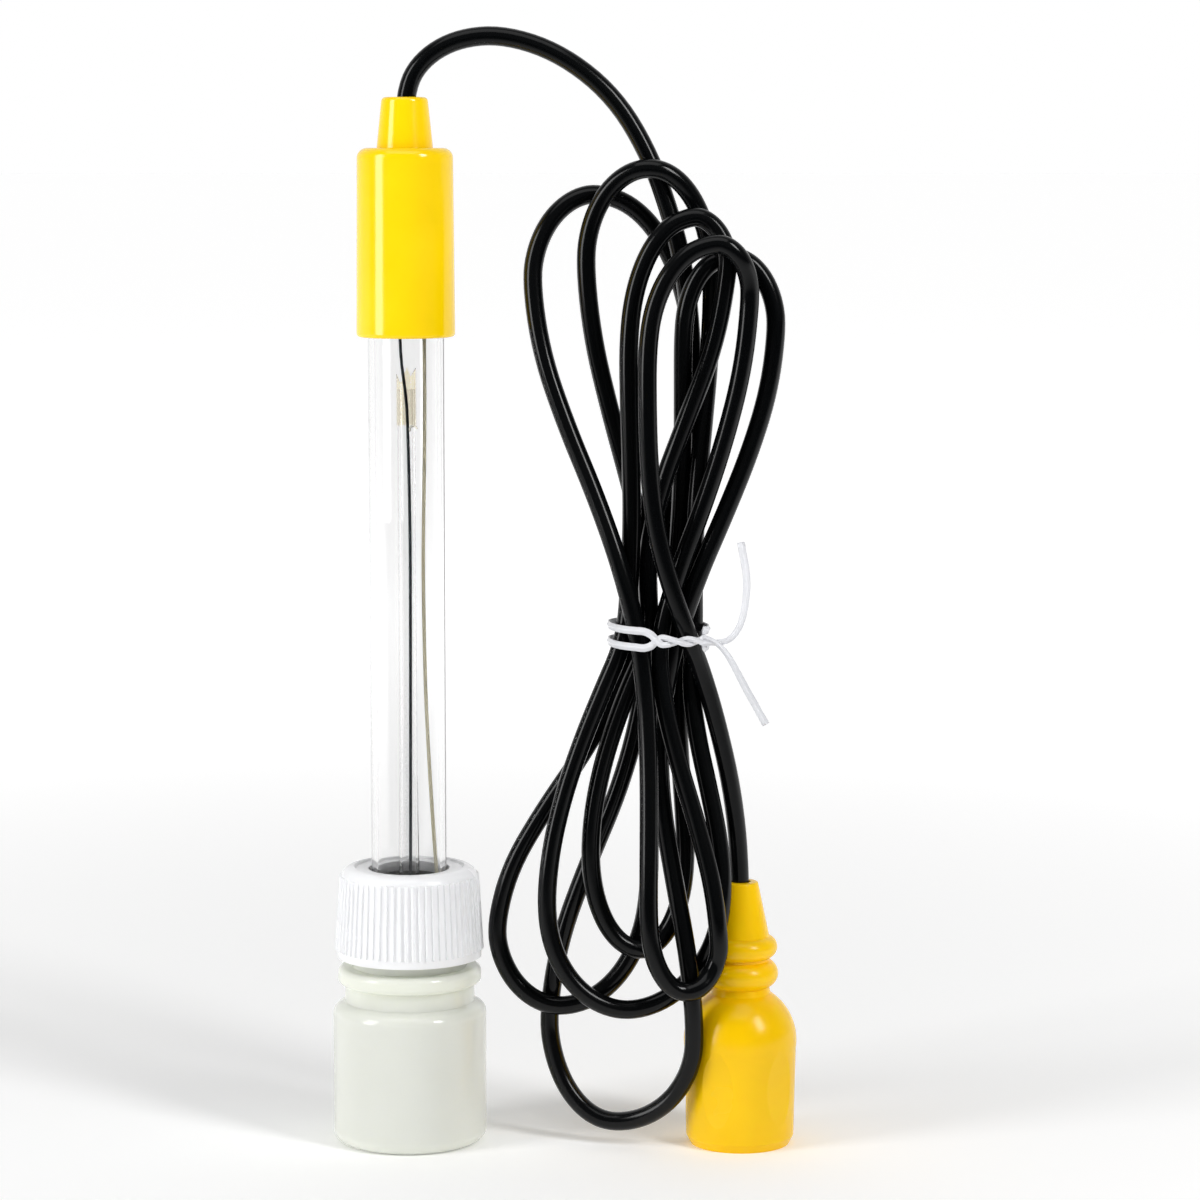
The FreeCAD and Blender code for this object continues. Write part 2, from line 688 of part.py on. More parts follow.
def make_cord():
    """The cord's arch from the head to the hank, and its tail from the hank into the boot."""
    neck_top = Vector(0, 0, number(STRAIN_HIGH))
    arch = [
        Vector(0, 0, number(CORD_START)),
        neck_top + Vector(0, 0, 2.1),
        neck_top + Vector(2.9, -0.1, 7.1),
        neck_top + Vector(8.2, -0.4, 10.1),
        neck_top + Vector(15.6, -0.8, 10.6),
        neck_top + Vector(24.4, -1.3, 7.4),
        Vector(32.6, -1.9, 167.6),
        Vector(38.2, -2.4, 158.2),
        Vector(42.0, -2.8, 147.5),
        Vector(44.2, -3.1, 138.0),
    ]
    shape_feature("cord_arch", tube("cord_arch", arch, size.cord_r))
    tail = [
        Vector(43.9, -6.3, 84.4),
        Vector(47.2, -5.1, 73.8),
        Vector(size.boot_x, size.boot_y, 52.6),
        Vector(size.boot_x, size.boot_y, number(CORD_END)),
    ]
    shape_feature("cord_tail", tube("cord_tail", tail, size.cord_r))


# Outer shape of the hank: height, middle and half width across, middle and half depth, and turn in degrees
HANK_SECTIONS = [
    (0.8, 33.0, 3.4, -2.4, 1.6, 0),
    (4.0, 33.4, 7.0, -2.6, 2.3, -10),
    (10.0, 33.8, 10.9, -4.4, 2.8, -16),
    (18.0, 33.8, 13.2, -6.0, 3.6, -18),
    (25.0, 33.0, 16.0, -7.0, 5.0, -12),
    (36.0, 31.8, 18.9, -8.0, 6.2, -6),
    (48.0, 33.6, 17.2, -7.8, 6.6, 0),
    (60.0, 36.4, 13.6, -7.2, 6.2, 0),
    (72.0, 38.8, 9.8, -6.4, 5.3, 0),
]
HANK_TOP_SECTIONS = [
    (92.0, 40.2, 8.0, -6.0, 5.2, 0),
    (106.0, 40.6, 12.0, -6.4, 6.0, 0),
    (120.0, 40.4, 18.2, -6.8, 6.6, 0),
    (133.0, 39.2, 20.2, -6.8, 6.8, 0),
    (143.0, 37.2, 18.2, -6.2, 6.4, 6),
    (151.0, 36.0, 12.2, -5.0, 4.6, 6),
    (156.6, 38.2, 4.6, -4.2, 2.2, 0),
]


def boot_outline(extra):
    """Half section of the boot's outside, from the axis at the mouth to the axis at the top."""
    return [
        ("0", "0"),
        (f"size.boot_mouth_r{extra}", "0"),
        (f"size.bulb_foot_r{extra}", BULB_FOOT),
        (f"size.bulb_r{extra}", BULB_WIDEST, DOME_BEND),
        (f"size.boot_waist_r{extra}", DOME_HIGH),
        (f"size.valley_r{extra}", RING_DOWN_LOW, RING_DOWN_BEND),
        (f"size.valley_r{extra}", RING_DOWN_HIGH),
        (f"size.valley_r{extra}", RING_UP_LOW, RING_UP_BEND),
        (f"size.valley_r{extra}", RING_UP_HIGH),
        (f"size.boot_neck_r{extra}", BOOT_HIGH),
        ("0", BOOT_HIGH),
    ]


def boot_guard():
    """The boot's outer shape as one solid, grown a little, that the hank stays clear of."""
    corners = boot_outline(" + size.hank_play")
    places = [Vector(number(corner[0]), number(corner[1]), 0) for corner in corners]
    edges = []
    for corner, start, end in zip(corners, places, [*places[1:], places[0]]):
        bend = corner[2] if len(corner) > 2 else None
        edges.append(side(start, end, bend).toShape())
    section = Part.Face(Part.Wire(edges))
    section.rotate(Vector(0, 0, 0), Vector(1, 0, 0), 90)
    guard = section.revolve(Vector(0, 0, 0), Vector(0, 0, 1), 360)
    guard.translate(Vector(size.boot_x, size.boot_y, 0))
    return guard


def make_hank():
    """One closed solid of the hank's outer shape, cut back from the boot it leans on."""
    waist = [(size.waist_z + edge * size.tie_width, size.waist_x, size.waist_half_x,
              size.waist_y, size.waist_half_y, 0) for edge in (-0.5, 0.5)]
    rings = []
    for height, middle_x, half_x, middle_y, half_y, turn in [*HANK_SECTIONS, *waist, *HANK_TOP_SECTIONS]:
        ring = Part.Ellipse(Vector(0, 0, 0), half_x, half_y).toShape()
        ring.rotate(Vector(0, 0, 0), Vector(0, 0, 1), turn)
        ring.translate(Vector(middle_x, middle_y, height))
        rings.append(Part.Wire([ring]))
    hank = Part.makeLoft(rings, True, True)
    shape_feature("cord_hank", hank.cut(boot_guard()))


# The tie's two ends, as steps from the knot
TIE_END_UP = [(0, 0, -0.3), (3.6, -1.0, -0.7), (6.3, -1.4, 3.0), (6.6, -1.7, 8.6), (5.9, -2.0, 15.6)]
TIE_END_DOWN = [(0, 0, -0.2), (4.0, -1.0, -2.3), (6.8, -1.5, -7.4), (9.9, -1.8, -13.6)]


def make_twist_tie():
    """Flat band round the waist, its twist and its two loose ends."""
    def prism(grow):
        ring = Part.Ellipse(Vector(0, 0, 0), size.waist_half_x + grow, size.waist_half_y + grow).toShape()
        face = Part.Face(Part.Wire([ring]))
        face.translate(Vector(size.waist_x, size.waist_y, size.waist_z - size.tie_width / 2))
        return face.extrude(Vector(0, 0, size.tie_width))

    band = prism(size.tie_thick).cut(prism(0))
    knot = Vector(size.waist_x + size.waist_half_x + size.knot_aside,
                  size.waist_y - size.knot_forward, size.waist_z)
    upper = tube("tie end up", [knot + Vector(*step) for step in TIE_END_UP], size.tie_wire_r)
    lower = tube("tie end down", [knot + Vector(*step) for step in TIE_END_DOWN], size.tie_wire_r)
    shape_feature("twist_tie", band.fuse([upper, lower]).removeSplitter())


def make_plug_boot():
    cavity_r = f"{COUPLING_R} + size.grip_play"
    collar_space = "size.collar_r + size.plug_play"
    ferrule_space = "size.cord_r + size.cord_play + size.ferrule_wall + size.plug_play"
    outside = boot_outline("")[1:-1]
    inside = [
        ("size.cord_r + size.boot_cord_play", BOOT_HIGH),
        ("size.cord_r + size.boot_cord_play", f"{FERRULE_HIGH} + size.plug_play"),
        (ferrule_space, f"{FERRULE_HIGH} + size.plug_play"),
        (ferrule_space, f"{COLLAR_HIGH} + size.plug_play"),
        (collar_space, f"{COLLAR_HIGH} + size.plug_play"),
        (collar_space, f"{COUPLING_HIGH} + size.grip_play"),
        (cavity_r, f"{COUPLING_HIGH} + size.grip_play"),
        (cavity_r, "0"),
    ]
    body = turned("plug_boot", outside + inside)
    round_rims(body, "lip", "size.boot_lip", [("size.boot_neck_r", BOOT_HIGH)])
    grip = cut_through(body, grip_section(body), "grip", "2 * size.bulb_r")
    repeat_round(body, grip, "grips", "size.grip_count")
    body.Placement = Placement(Vector(0, 0, 0), Rotation(Vector(0, 0, 1), size.grip_turn))
    stand_at_boot(body)


def grip_section(body):
    """Circular segment that leaves an oval, flat across and hollow along, on the boot's side."""
    bend = "(size.grip_half ^ 2 + size.grip_depth ^ 2) / (2 * size.grip_depth)"
    middle_x = f"size.bulb_r - size.grip_depth + {bend}"
    chord = "size.bulb_r + size.grip_run_out"
    chord_x = number(chord)
    centre = Vector(number(middle_x), number("size.grip_middle_z"), 0)
    radius = number(bend)
    half_chord = math.sqrt(radius ** 2 - (centre.x - chord_x) ** 2)
    high = Vector(chord_x, centre.y + half_chord, 0)
    low = Vector(chord_x, centre.y - half_chord, 0)
    sketch = attached_sketch(body, "plug_boot_grip", "XZ_Plane")
    sketch.addGeometry(Part.Arc(high, centre - Vector(radius, 0, 0), low), False)
    sketch.addGeometry(Part.LineSegment(low, high), False)
    starts_high = sketch.Geometry[0].StartPoint.y > centre.y
    high_end, low_end = (1, 2) if starts_high else (2, 1)
    sketch.addConstraint(Sketcher.Constraint("Coincident", 0, low_end, 1, 1))
    sketch.addConstraint(Sketcher.Constraint("Coincident", 0, high_end, 1, 2))
    sketch.addConstraint(Sketcher.Constraint("Vertical", 1))
    for kind, text in (("DistanceX", middle_x), ("DistanceY", "size.grip_middle_z")):
        index = sketch.addConstraint(Sketcher.Constraint(kind, -1, 1, 0, 3, number(text)))
        sketch.setExpression(f"Constraints[{index}]", text)
    index = sketch.addConstraint(Sketcher.Constraint("Radius", 0, radius))
    sketch.setExpression(f"Constraints[{index}]", bend)
    index = sketch.addConstraint(Sketcher.Constraint("DistanceX", -1, 1, 1, 1, chord_x))
    sketch.setExpression(f"Constraints[{index}]", chord)
    return sketch


def make_coupling_ring():
    """Bayonet ring: a lip with two gates, room behind it for the socket's lugs, and grip flutes."""
    lip_high = "size.coupling_low + size.gate_lip"
    lug_r = f"{COUPLING_BORE_R} + size.lug_reach"
    body = turned("coupling_ring", [
        (COUPLING_BORE_R, "size.coupling_low"),
        (COUPLING_R, "size.coupling_low"),
        (COUPLING_R, COUPLING_HIGH),
        (WEB_R, COUPLING_HIGH),
        (WEB_R, f"{COUPLING_HIGH} - size.coupling_web"),
        (COUPLING_BORE_R, f"{COUPLING_HIGH} - size.coupling_web"),
        (COUPLING_BORE_R, f"{lip_high} + size.lug_room"),
        (lug_r, f"{lip_high} + size.lug_room"),
        (lug_r, lip_high),
        (COUPLING_BORE_R, lip_high),
    ])
    gates = outline(body, "coupling_ring_gates", [
        (f"-({lug_r})", "-size.gate_width / 2"),
        (lug_r, "-size.gate_width / 2"),
        (lug_r, "size.gate_width / 2"),
        (f"-({lug_r})", "size.gate_width / 2"),
    ], plane="XY_Plane")
    cut_through(body, gates, "gates", f"2 * ({lip_high})")
    groove = circle_sketch(body, "coupling_ring_flute", "XY_Plane",
                           f"{COUPLING_R} + size.flute_r - size.flute_depth", "0", "size.flute_r")
    flute = cut_through(body, groove, "flute", f"3 * {COUPLING_HIGH}")
    repeat_round(body, flute, "flutes", "size.flute_count")
    stand_at_boot(body)


def make_plug_body():
    bore = "size.contact_r - size.contact_wall"
    body = turned("plug_body", [
        (bore, "size.contact_low"),
        ("size.contact_r", "size.contact_low"),
        ("size.contact_r", CONTACT_HIGH),
        ("size.contact_root_r", CONTACT_HIGH),
        ("size.contact_root_r", FLANGE_LOW),
        ("size.flange_r", FLANGE_LOW),
        ("size.flange_r", FLANGE_HIGH),
        ("size.plug_neck_r", FLANGE_HIGH),
        ("size.plug_neck_r", COLLAR_LOW),
        ("size.collar_r", COLLAR_LOW),
        ("size.collar_r", COLLAR_HIGH),
        ("size.crimp_stem_r", COLLAR_HIGH),
        ("size.crimp_stem_r", CRIMP_STEM_HIGH),
        ("size.crimp_stem_bore_r", CRIMP_STEM_HIGH),
        ("size.crimp_stem_bore_r", INSULATOR_HIGH),
        (bore, INSULATOR_HIGH),
    ])
    slot = outline(body, "plug_body_slot", [
        ("-size.contact_slot / 2", "size.contact_low - size.contact_slot"),
        ("size.contact_slot / 2", "size.contact_low - size.contact_slot"),
        ("size.contact_slot / 2", "size.contact_low + size.contact_slot_depth"),
        ("-size.contact_slot / 2", "size.contact_low + size.contact_slot_depth"),
    ])
    slot.AttachmentOffset = Placement(Vector(0, 0, 0), Rotation(Vector(0, 1, 0), 1))
    slot.setExpression("AttachmentOffset.Rotation.Angle", "size.contact_slot_turn")
    cut = cut_through(body, slot, "slot", "2 * size.flange_r")
    repeat_round(body, cut, "slots", "size.contact_slot_count")
    stand_at_boot(body)


def make_plug_inside():
    insulator = turned("plug_insulator", [
        ("size.insulator_bore_r", INSULATOR_LOW),
        ("size.contact_r - size.contact_wall", INSULATOR_LOW),
        ("size.contact_r - size.contact_wall", INSULATOR_HIGH),
        ("size.insulator_bore_r", INSULATOR_HIGH),
    ])
    contact = turned("centre_contact", [
        ("0", PIN_CONTACT_LOW),
        ("size.pin_contact_r", PIN_CONTACT_LOW),
        ("size.pin_contact_r", INSULATOR_LOW),
        ("size.pin_shank_r", INSULATOR_LOW),
        ("size.pin_shank_r", COLLAR_HIGH),
        ("0", COLLAR_HIGH),
    ])
    gasket = turned("plug_gasket", [
        ("size.contact_root_r", f"{FLANGE_LOW} - size.gasket_thick"),
        ("size.flange_r", f"{FLANGE_LOW} - size.gasket_thick"),
        ("size.flange_r", FLANGE_LOW),
        ("size.contact_root_r", FLANGE_LOW),
    ])
    spring = turned("spring_washer", [
        ("size.plug_neck_r + size.spring_play", FLANGE_HIGH),
        ("size.flange_r", FLANGE_HIGH),
        ("size.flange_r", f"{FLANGE_HIGH} + size.spring_thick"),
        ("size.plug_neck_r + size.spring_play", f"{FLANGE_HIGH} + size.spring_thick"),
    ])
    ferrule = turned("crimp_ferrule", [
        ("size.cord_r + size.cord_play", COLLAR_HIGH),
        ("size.cord_r + size.cord_play + size.ferrule_wall", COLLAR_HIGH),
        ("size.cord_r + size.cord_play + size.ferrule_wall", FERRULE_HIGH),
        ("size.cord_r + size.cord_play", FERRULE_HIGH),
    ])
    for piece in (insulator, contact, gasket, spring, ferrule):
        stand_at_boot(piece)


def check_and_export():
    doc.recompute()
    for item in doc.Objects:
        if {"Invalid", "Error"} & set(item.State):
            raise RuntimeError(f"{item.Name} failed: {item.State}")
    os.makedirs("parts", exist_ok=True)
    for node in NODES:
        shape = node.Shape
        if shape.isNull() or not shape.isValid() or not shape.Solids:
            raise RuntimeError(f"{node.Label} has no valid solid")
        shape.exportStep(f"parts/{node.Label}.step")
        print(f"{node.Label}: {len(shape.Solids)} solid, {shape.Volume:.1f} cubic mm, "
              f"{len(shape.Faces)} faces")


make_bottle()
make_bottle_cap()
make_seals()
make_glass_body()
make_inner_stem()
make_stem_sleeve()
make_stem_hook()
make_tip_pieces()
make_wires()
make_head()
make_cord()
make_hank()
make_twist_tie()
make_plug_boot()
make_coupling_ring()
make_plug_body()
make_plug_inside()
check_and_export()
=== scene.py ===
# %% [markdown]
# # A redox (ORP) electrode, stored in its bottle
#
# The part is a glass electrode that stands in a little storage bottle, with a thin black cord
# folded into a hank and a soft yellow boot over its plug. The solid pieces come from CAD and are
# loaded as a fixed frame. This file adds what CAD leaves plain: the cord as a real length of
# something flexible, the twist tie round it, the thread under the cap, and every finish.
#
# All lengths are in metres. Sizes that are easier to read in millimetres are written in
# millimetres and multiplied by `MM` where they are used.

# %% Load the frame
import math

import bpy
import numpy as np
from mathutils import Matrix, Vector


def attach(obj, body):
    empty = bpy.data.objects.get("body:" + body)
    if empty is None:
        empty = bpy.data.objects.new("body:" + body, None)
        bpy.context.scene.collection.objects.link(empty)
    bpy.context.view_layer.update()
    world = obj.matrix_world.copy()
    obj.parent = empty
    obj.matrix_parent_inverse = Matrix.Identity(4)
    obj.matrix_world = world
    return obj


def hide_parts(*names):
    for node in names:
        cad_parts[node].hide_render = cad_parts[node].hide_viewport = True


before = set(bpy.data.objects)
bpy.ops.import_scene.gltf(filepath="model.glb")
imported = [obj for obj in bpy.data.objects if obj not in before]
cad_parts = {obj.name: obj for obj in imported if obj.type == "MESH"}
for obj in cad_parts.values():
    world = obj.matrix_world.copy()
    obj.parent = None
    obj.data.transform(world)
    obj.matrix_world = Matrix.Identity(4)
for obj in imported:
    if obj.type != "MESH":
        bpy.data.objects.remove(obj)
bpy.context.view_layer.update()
scene = bpy.context.scene
MM = 0.001
print("nodes in the frame:", len(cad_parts))

# %% [markdown]
# ## The camera
#
# The photograph was taken from straight in front and a little above, with a long lens, so the
# two sides of each cylinder stay nearly parallel. A camera that stands 0.6 m away and looks down
# by a few degrees gives the same picture. The focal length follows from how large the electrode
# is in the frame.

# %% Camera
CAMERA_PLACE = (0.0306, -0.600, 0.158)
CAMERA_DOWN = math.radians(6.7)
CAMERA_LENS = 114.0


def add_camera():
    data = bpy.data.cameras.new("studio_camera")
    data.lens = CAMERA_LENS
    data.clip_start = 0.01
    camera = bpy.data.objects.new("studio_camera", data)
    camera.location = CAMERA_PLACE
    camera.rotation_euler = (math.pi / 2 - CAMERA_DOWN, 0, 0)
    scene.collection.objects.link(camera)
    scene.camera = camera


add_camera()
print("camera", CAMERA_PLACE, "lens", CAMERA_LENS, "mm")

# %% [markdown]
# ## The cord's route
#
# The cord is one piece about 1.5 m long. It leaves the head's strain relief, makes an arch, goes
# into a hank of ten bights that a twist tie holds at its waist, and ends in the plug. A bight is
# one fold of the cord: out from the tie, round, and back to the tie.
#
# A cord like this could be drawn as one long hand-made list of points, but a hank has a rule. Each
# bight leaves the tie in one slot of the bundle, swings out to where it is widest, goes round its
# crown, and comes back to another slot. So the arch and the tail are given as lists, and one loop
# works out the bights from a few chosen places for each: the slots, half way out, widest, crown.
# Every bight has its own size and depth, because loose folds fan out where nothing ties them.

# %% Arch and tail, the stretches outside the hank (x, y, z in mm)
ARCH = [
    (0.0, 0.0, 163.2), (0.1, 0.0, 168.2), (3.0, -0.1, 172.9), (8.4, -0.4, 175.9),
    (15.6, -0.8, 176.5), (24.4, -1.3, 173.6), (32.6, -1.8, 167.2), (38.2, -2.2, 158.2),
    (42.0, -2.4, 147.5), (44.2, -2.2, 138.0), (45.3, -1.2, 125.0), (45.5, -0.6, 110.0),
    (45.2, -0.7, 96.0),
]
TAIL = [
    (46.3, -6.0, 78.0), (48.9, -4.8, 69.5), (51.8, -3.2, 57.0), (53.1, -2.0, 44.0), (53.1, -2.0, 31.0),
]
CORD_DIAMETER = 3.0
print("arch and tail points:", len(ARCH), len(TAIL))

# %% Slots of the bundle at the tie (x, y in mm), a cord's thickness apart
WAIST_HIGH = 82.0
SLOTS = {
    "front_left": (34.6, -5.4),
    "front_second": (36.9, -7.8),
    "front_third": (40.4, -7.6),
    "front_right": (44.3, -7.6),
    "middle_left": (38.6, -4.9),
    "middle_right": (42.5, -5.0),
    "right_edge": (45.3, -3.6),
    "back_left": (35.2, -1.8),
    "back_second": (38.4, -1.7),
    "back_third": (41.5, -1.7),
    "back_right": (44.3, -0.6),
}

# %% The ten bights, in the order in which the cord runs through them
# slot, half way (x, y), widest (x, y, z), crown (x, y, z), widest (x, y, z), half way (x, y), slot
BIGHTS = [
    ("back_right", (43.2, -1.0), (44.3, -2.6, 46.5), (37.1, -4.8, 31.8),
     (29.0, -5.8, 47.5), (31.8, -5.4), "middle_left"),
    ("middle_left", (42.0, -5.4), (50.6, -5.6, 140.6), (45.1, -6.8, 148.4),
     (35.0, -7.4, 128.5), (35.6, -6.8), "front_left"),
    ("front_left", (25.9, -7.6), (22.0, -8.4, 39.5), (35.4, -9.8, 22.6),
     (50.2, -5.6, 42.0), (46.9, -4.6), "right_edge"),
    ("right_edge", (46.3, -3.0), (48.3, -2.7, 138.5), (38.4, -3.8, 156.0),
     (28.2, -2.6, 141.0), (33.9, -2.4), "back_second"),
    ("back_second", (31.3, -0.4), (22.2, 0.0, 20.5), (32.6, -3.8, 3.5),
     (45.8, -8.4, 18.5), (41.1, -3.6), "middle_right"),
    ("middle_right", (52.2, -4.6), (58.3, -4.6, 131.0), (50.8, -4.8, 142.3),
     (43.6, -4.2, 130.0), (43.6, -2.8), "back_third"),
    ("back_third", (38.8, -1.6), (38.5, -2.4, 42.0), (24.6, -3.2, 22.2),
     (13.9, -2.8, 35.5), (24.9, -2.4), "back_left"),
    ("back_left", (42.5, 2.2), (45.6, 2.8, 124.0), (30.2, 0.8, 152.0),
     (19.8, -1.4, 138.0), (27.7, -5.4), "front_second"),
    ("front_second", (38.3, -10.6), (38.2, -14.6, 38.6), (44.2, -12.2, 26.6),
     (49.5, -7.0, 34.2), (44.3, -8.6), "front_third"),
    ("front_third", (48.7, -7.6), (54.0, -7.4, 136.0), (48.6, -10.0, 144.3),
     (37.9, -12.4, 127.5), (38.6, -11.4), "front_right"),
]
LEG_POINTS = 5
QUARTER_POINTS = 4


# %% [markdown]
# A leg of a bight passes through three chosen places and stands upright where the bight is
# widest. A cubic that is level at its far end is the simplest curve that does this. From there to
# the crown the cord goes round a quarter of an ellipse, as a springy cord does.

# %% One bight from its chosen places
def swing(near, half, far, share):
    """A cubic through near at 0, half at 1/2 and far at 1, level at 1."""
    cube = 2 * (near - far) - 8 * (half - far)
    square = near - far - cube
    left = 1 - share
    return far + square * left ** 2 + cube * left ** 3


def leg(slot, half, widest):
    points = []
    for step in range(1, LEG_POINTS + 1):
        share = step / LEG_POINTS
        points.append((swing(slot[0], half[0], widest[0], share),
                       swing(slot[1], half[1], widest[1], share),
                       WAIST_HIGH + (widest[2] - WAIST_HIGH) * share))
    return points


def quarter(widest, crown):
    points = []
    for step in range(1, QUARTER_POINTS):
        angle = math.pi / 2 * step / QUARTER_POINTS
        points.append((crown[0] + (widest[0] - crown[0]) * math.cos(angle),
                       crown[1] + (widest[1] - crown[1]) * math.cos(angle),
                       widest[2] + (crown[2] - widest[2]) * math.sin(angle)))
    return points


def bight(start, half_out, widest_out, crown, widest_back, half_back, end):
    way_out = leg(SLOTS[start], half_out, widest_out) + quarter(widest_out, crown)
    way_back = leg(SLOTS[end], half_back, widest_back) + quarter(widest_back, crown)
    return [(*SLOTS[start], WAIST_HIGH)] + way_out + [crown] + way_back[::-1]


route = list(ARCH)
for chosen in BIGHTS:
    route += bight(*chosen)
route += [(*SLOTS[BIGHTS[-1][-1]], WAIST_HIGH)] + TAIL
print("points on the cord's route:", len(route))

# %% [markdown]
# ### Strands give way to each other
#
# Drawn like this, some strands would run through each other, above all at the tie, where eleven of
# them meet. Real strands slide apart until they lie side by side, and the loop below does the same.
# It looks at many places along the cord, finds the ones that lie nearer to each other than the
# cord is thick, and moves both apart by a little: in depth where the hank is loose, and any way across
# the bundle near the tie. In between it smooths the cord's depth, because a springy cord spreads a
# bend over a long stretch. What the photograph shows from in front stays where it is.

# %% Places along the spline
# LOOKS places are taken on each span, and places nearer than NEIGHBOURS along the cord don't count
LOOKS = 4
ROOM = CORD_DIAMETER + 0.2
NEIGHBOURS = 12
WAIST_REACH = 16.0
FIRM_ARCH = len(ARCH) - 3
FIRM_TAIL = 3
SHORTEST = 1e-6
MOST_DEPTH = 0.8
PUSH_SHARE = 0.5
SMOOTHING = 0.10
PULL_BACK = (0.05, 0.02)


def looks(count):
    """Weights that turn a route's points into places along its spline, LOOKS to a span."""
    weights = np.zeros(((count - 2) * LOOKS, count))
    for span in range(count - 2):
        for step in range(LOOKS):
            t = step / LOOKS
            share = ((1 - t) ** 2 / 2, 0.5 + t - t * t, t * t / 2)
            weights[span * LOOKS + step, span:span + 3] = share
    return weights


# %% The push of one strand on another
def strand_push(line):
    gap = line[:, None] - line[None]
    apart = np.sqrt((gap ** 2).sum(axis=2)) + SHORTEST
    order = np.arange(len(line))
    close = (apart < ROOM) & (abs(order[:, None] - order) > NEIGHBOURS)
    depth = gap[..., 1]
    wanted = np.sqrt(np.maximum(ROOM ** 2 - gap[..., 0] ** 2 - gap[..., 2] ** 2, 0))
    lack = np.where(close, (wanted - abs(depth)) * np.where(depth < 0, -1, 1), 0)
    in_depth = np.clip(lack[order, abs(lack).argmax(axis=1)], -MOST_DEPTH, MOST_DEPTH)
    across = (np.where(close, ROOM / apart - 1, 0)[..., None] * gap).sum(axis=1)
    waist = np.clip(1 - ((line[:, 2] - WAIST_HIGH) / WAIST_REACH) ** 2, 0, 1)
    push = across * waist[:, None]
    push[:, 1] += in_depth * (1 - waist)
    push[:, 2] = 0
    return push


# %% The push of the boot on the strands in front of it
# its forms as (height that each goes up to, radius): the bulb, the dome, the two rings, the neck
BOOT_FORMS = [(21.0, 9.0), (24.6, 7.4), (34.0, 6.1), (42.5, 4.8)]
BOOT_AXIS = (53.1, -2.0)


def boot_push(line):
    push = np.zeros(len(line))
    floor = 0.0
    for ceiling, radius in BOOT_FORMS:
        reach = (radius + ROOM / 2) ** 2 - (line[:, 0] - BOOT_AXIS[0]) ** 2
        edge = BOOT_AXIS[1] - np.sqrt(np.maximum(reach, 0))
        inside = (line[:, 2] >= floor) & (line[:, 2] < ceiling) & (reach > 0) & (line[:, 1] > edge)
        push = np.where(inside, edge - line[:, 1], push)
        floor = ceiling
    push[-(FIRM_TAIL + 5) * LOOKS:] = 0
    return push


# %% The loop that lets the strands slide apart
def give_way(points, turns):
    start = np.array(points, float)
    moved = start.copy()
    weights = looks(len(points))
    shares = weights.T / (weights.sum(axis=0)[:, None] + SHORTEST)
    firm = list(range(FIRM_ARCH)) + list(range(len(points) - FIRM_TAIL, len(points)))
    for turn in range(turns):
        moved += PUSH_SHARE * shares @ strand_push(weights @ moved)
        ease = 1 - turn / turns
        bend = (moved[:-2, 1] + moved[2:, 1]) / 2 - moved[1:-1, 1]
        moved[1:-1, 1] += SMOOTHING * ease * bend
        moved[:, :2] += ease * (start - moved)[:, :2] * PULL_BACK
        moved[:, 1] += shares @ boot_push(weights @ moved)
        moved[firm] = start[firm]
    print("strands moved by at most", abs(moved - start).max(axis=0).round(1), "mm in x, y and z")
    return [tuple(point) for point in moved.tolist()]


GIVE_TURNS = 110
route = give_way(route, GIVE_TURNS)

# %% [markdown]
# The route becomes one NURBS spline. Its order is 3, so the curve is smooth and stays near its
# points, and it is set after the points are added, because a spline with too few points keeps a
# lower order. The round section is the curve's own bevel.


# %% The cord as one spline
def add_cord(name, points, diameter):
    data = bpy.data.curves.new(name, "CURVE")
    data.dimensions = "3D"
    spline = data.splines.new("NURBS")
    spline.points.add(len(points) - 1)
    for point, place in zip(spline.points, points):
        point.co = (*(Vector(place) * MM), 1)
    spline.order_u = 3
    spline.use_endpoint_u = True
    spline.resolution_u = 6
    spline.use_smooth = True
    data.bevel_depth = diameter * MM / 2
    data.bevel_resolution = 6
    data.use_fill_caps = True
    cord = bpy.data.objects.new(name, data)
    scene.collection.objects.link(cord)
    return cord


cord = add_cord("cord", route, CORD_DIAMETER)
print("cord length in m:", round(sum(
    (Vector(b) - Vector(a)).length for a, b in zip(route, route[1:])) * MM, 3), "along its points")

# %% [markdown]
# ## The twist tie
#
# The tie is a paper-thin white plastic strip with a wire along its middle. It is bent double, goes
# round the hank, and its two ends are twisted together in front and then stick out, one up and
# one down. So there are two strands of the band, one above the other, and one knot.
#
# A curve with a bevel would turn its flat section by itself where the strip goes from level to
# upright. A small sweep of our own takes a width direction with every point, so the strip lies
# flat on the cords round the bundle and turns where we say. Its ring is worked out from the cord's
# own strands, so it fits them however they gave way.


# %% Helpers for swept strips and plain meshes
def add_mesh(name, points, faces, smooth=True):
    data = bpy.data.meshes.new(name)
    data.from_pydata(points, [], faces)
    data.polygons.foreach_set("use_smooth", [smooth] * len(data.polygons))
    data.update()
    piece = bpy.data.objects.new(name, data)
    scene.collection.objects.link(piece)
    return piece


def smooth_row(rows, steps):
    """Catmull-Rom points through rows of numbers, `steps` to a span."""
    out = []
    padded = [rows[0]] + rows + [rows[-1]]
    for a, b, c, d in zip(padded, padded[1:], padded[2:], padded[3:]):
        for step in range(steps):
            t = step / steps
            out.append(tuple(
                0.5 * (2 * q + (r - p) * t + (2 * p - 5 * q + 4 * r - s) * t * t
                       + (3 * q - p - 3 * r + s) * t ** 3)
                for p, q, r, s in zip(a, b, c, d)))
    return out + [rows[-1]]


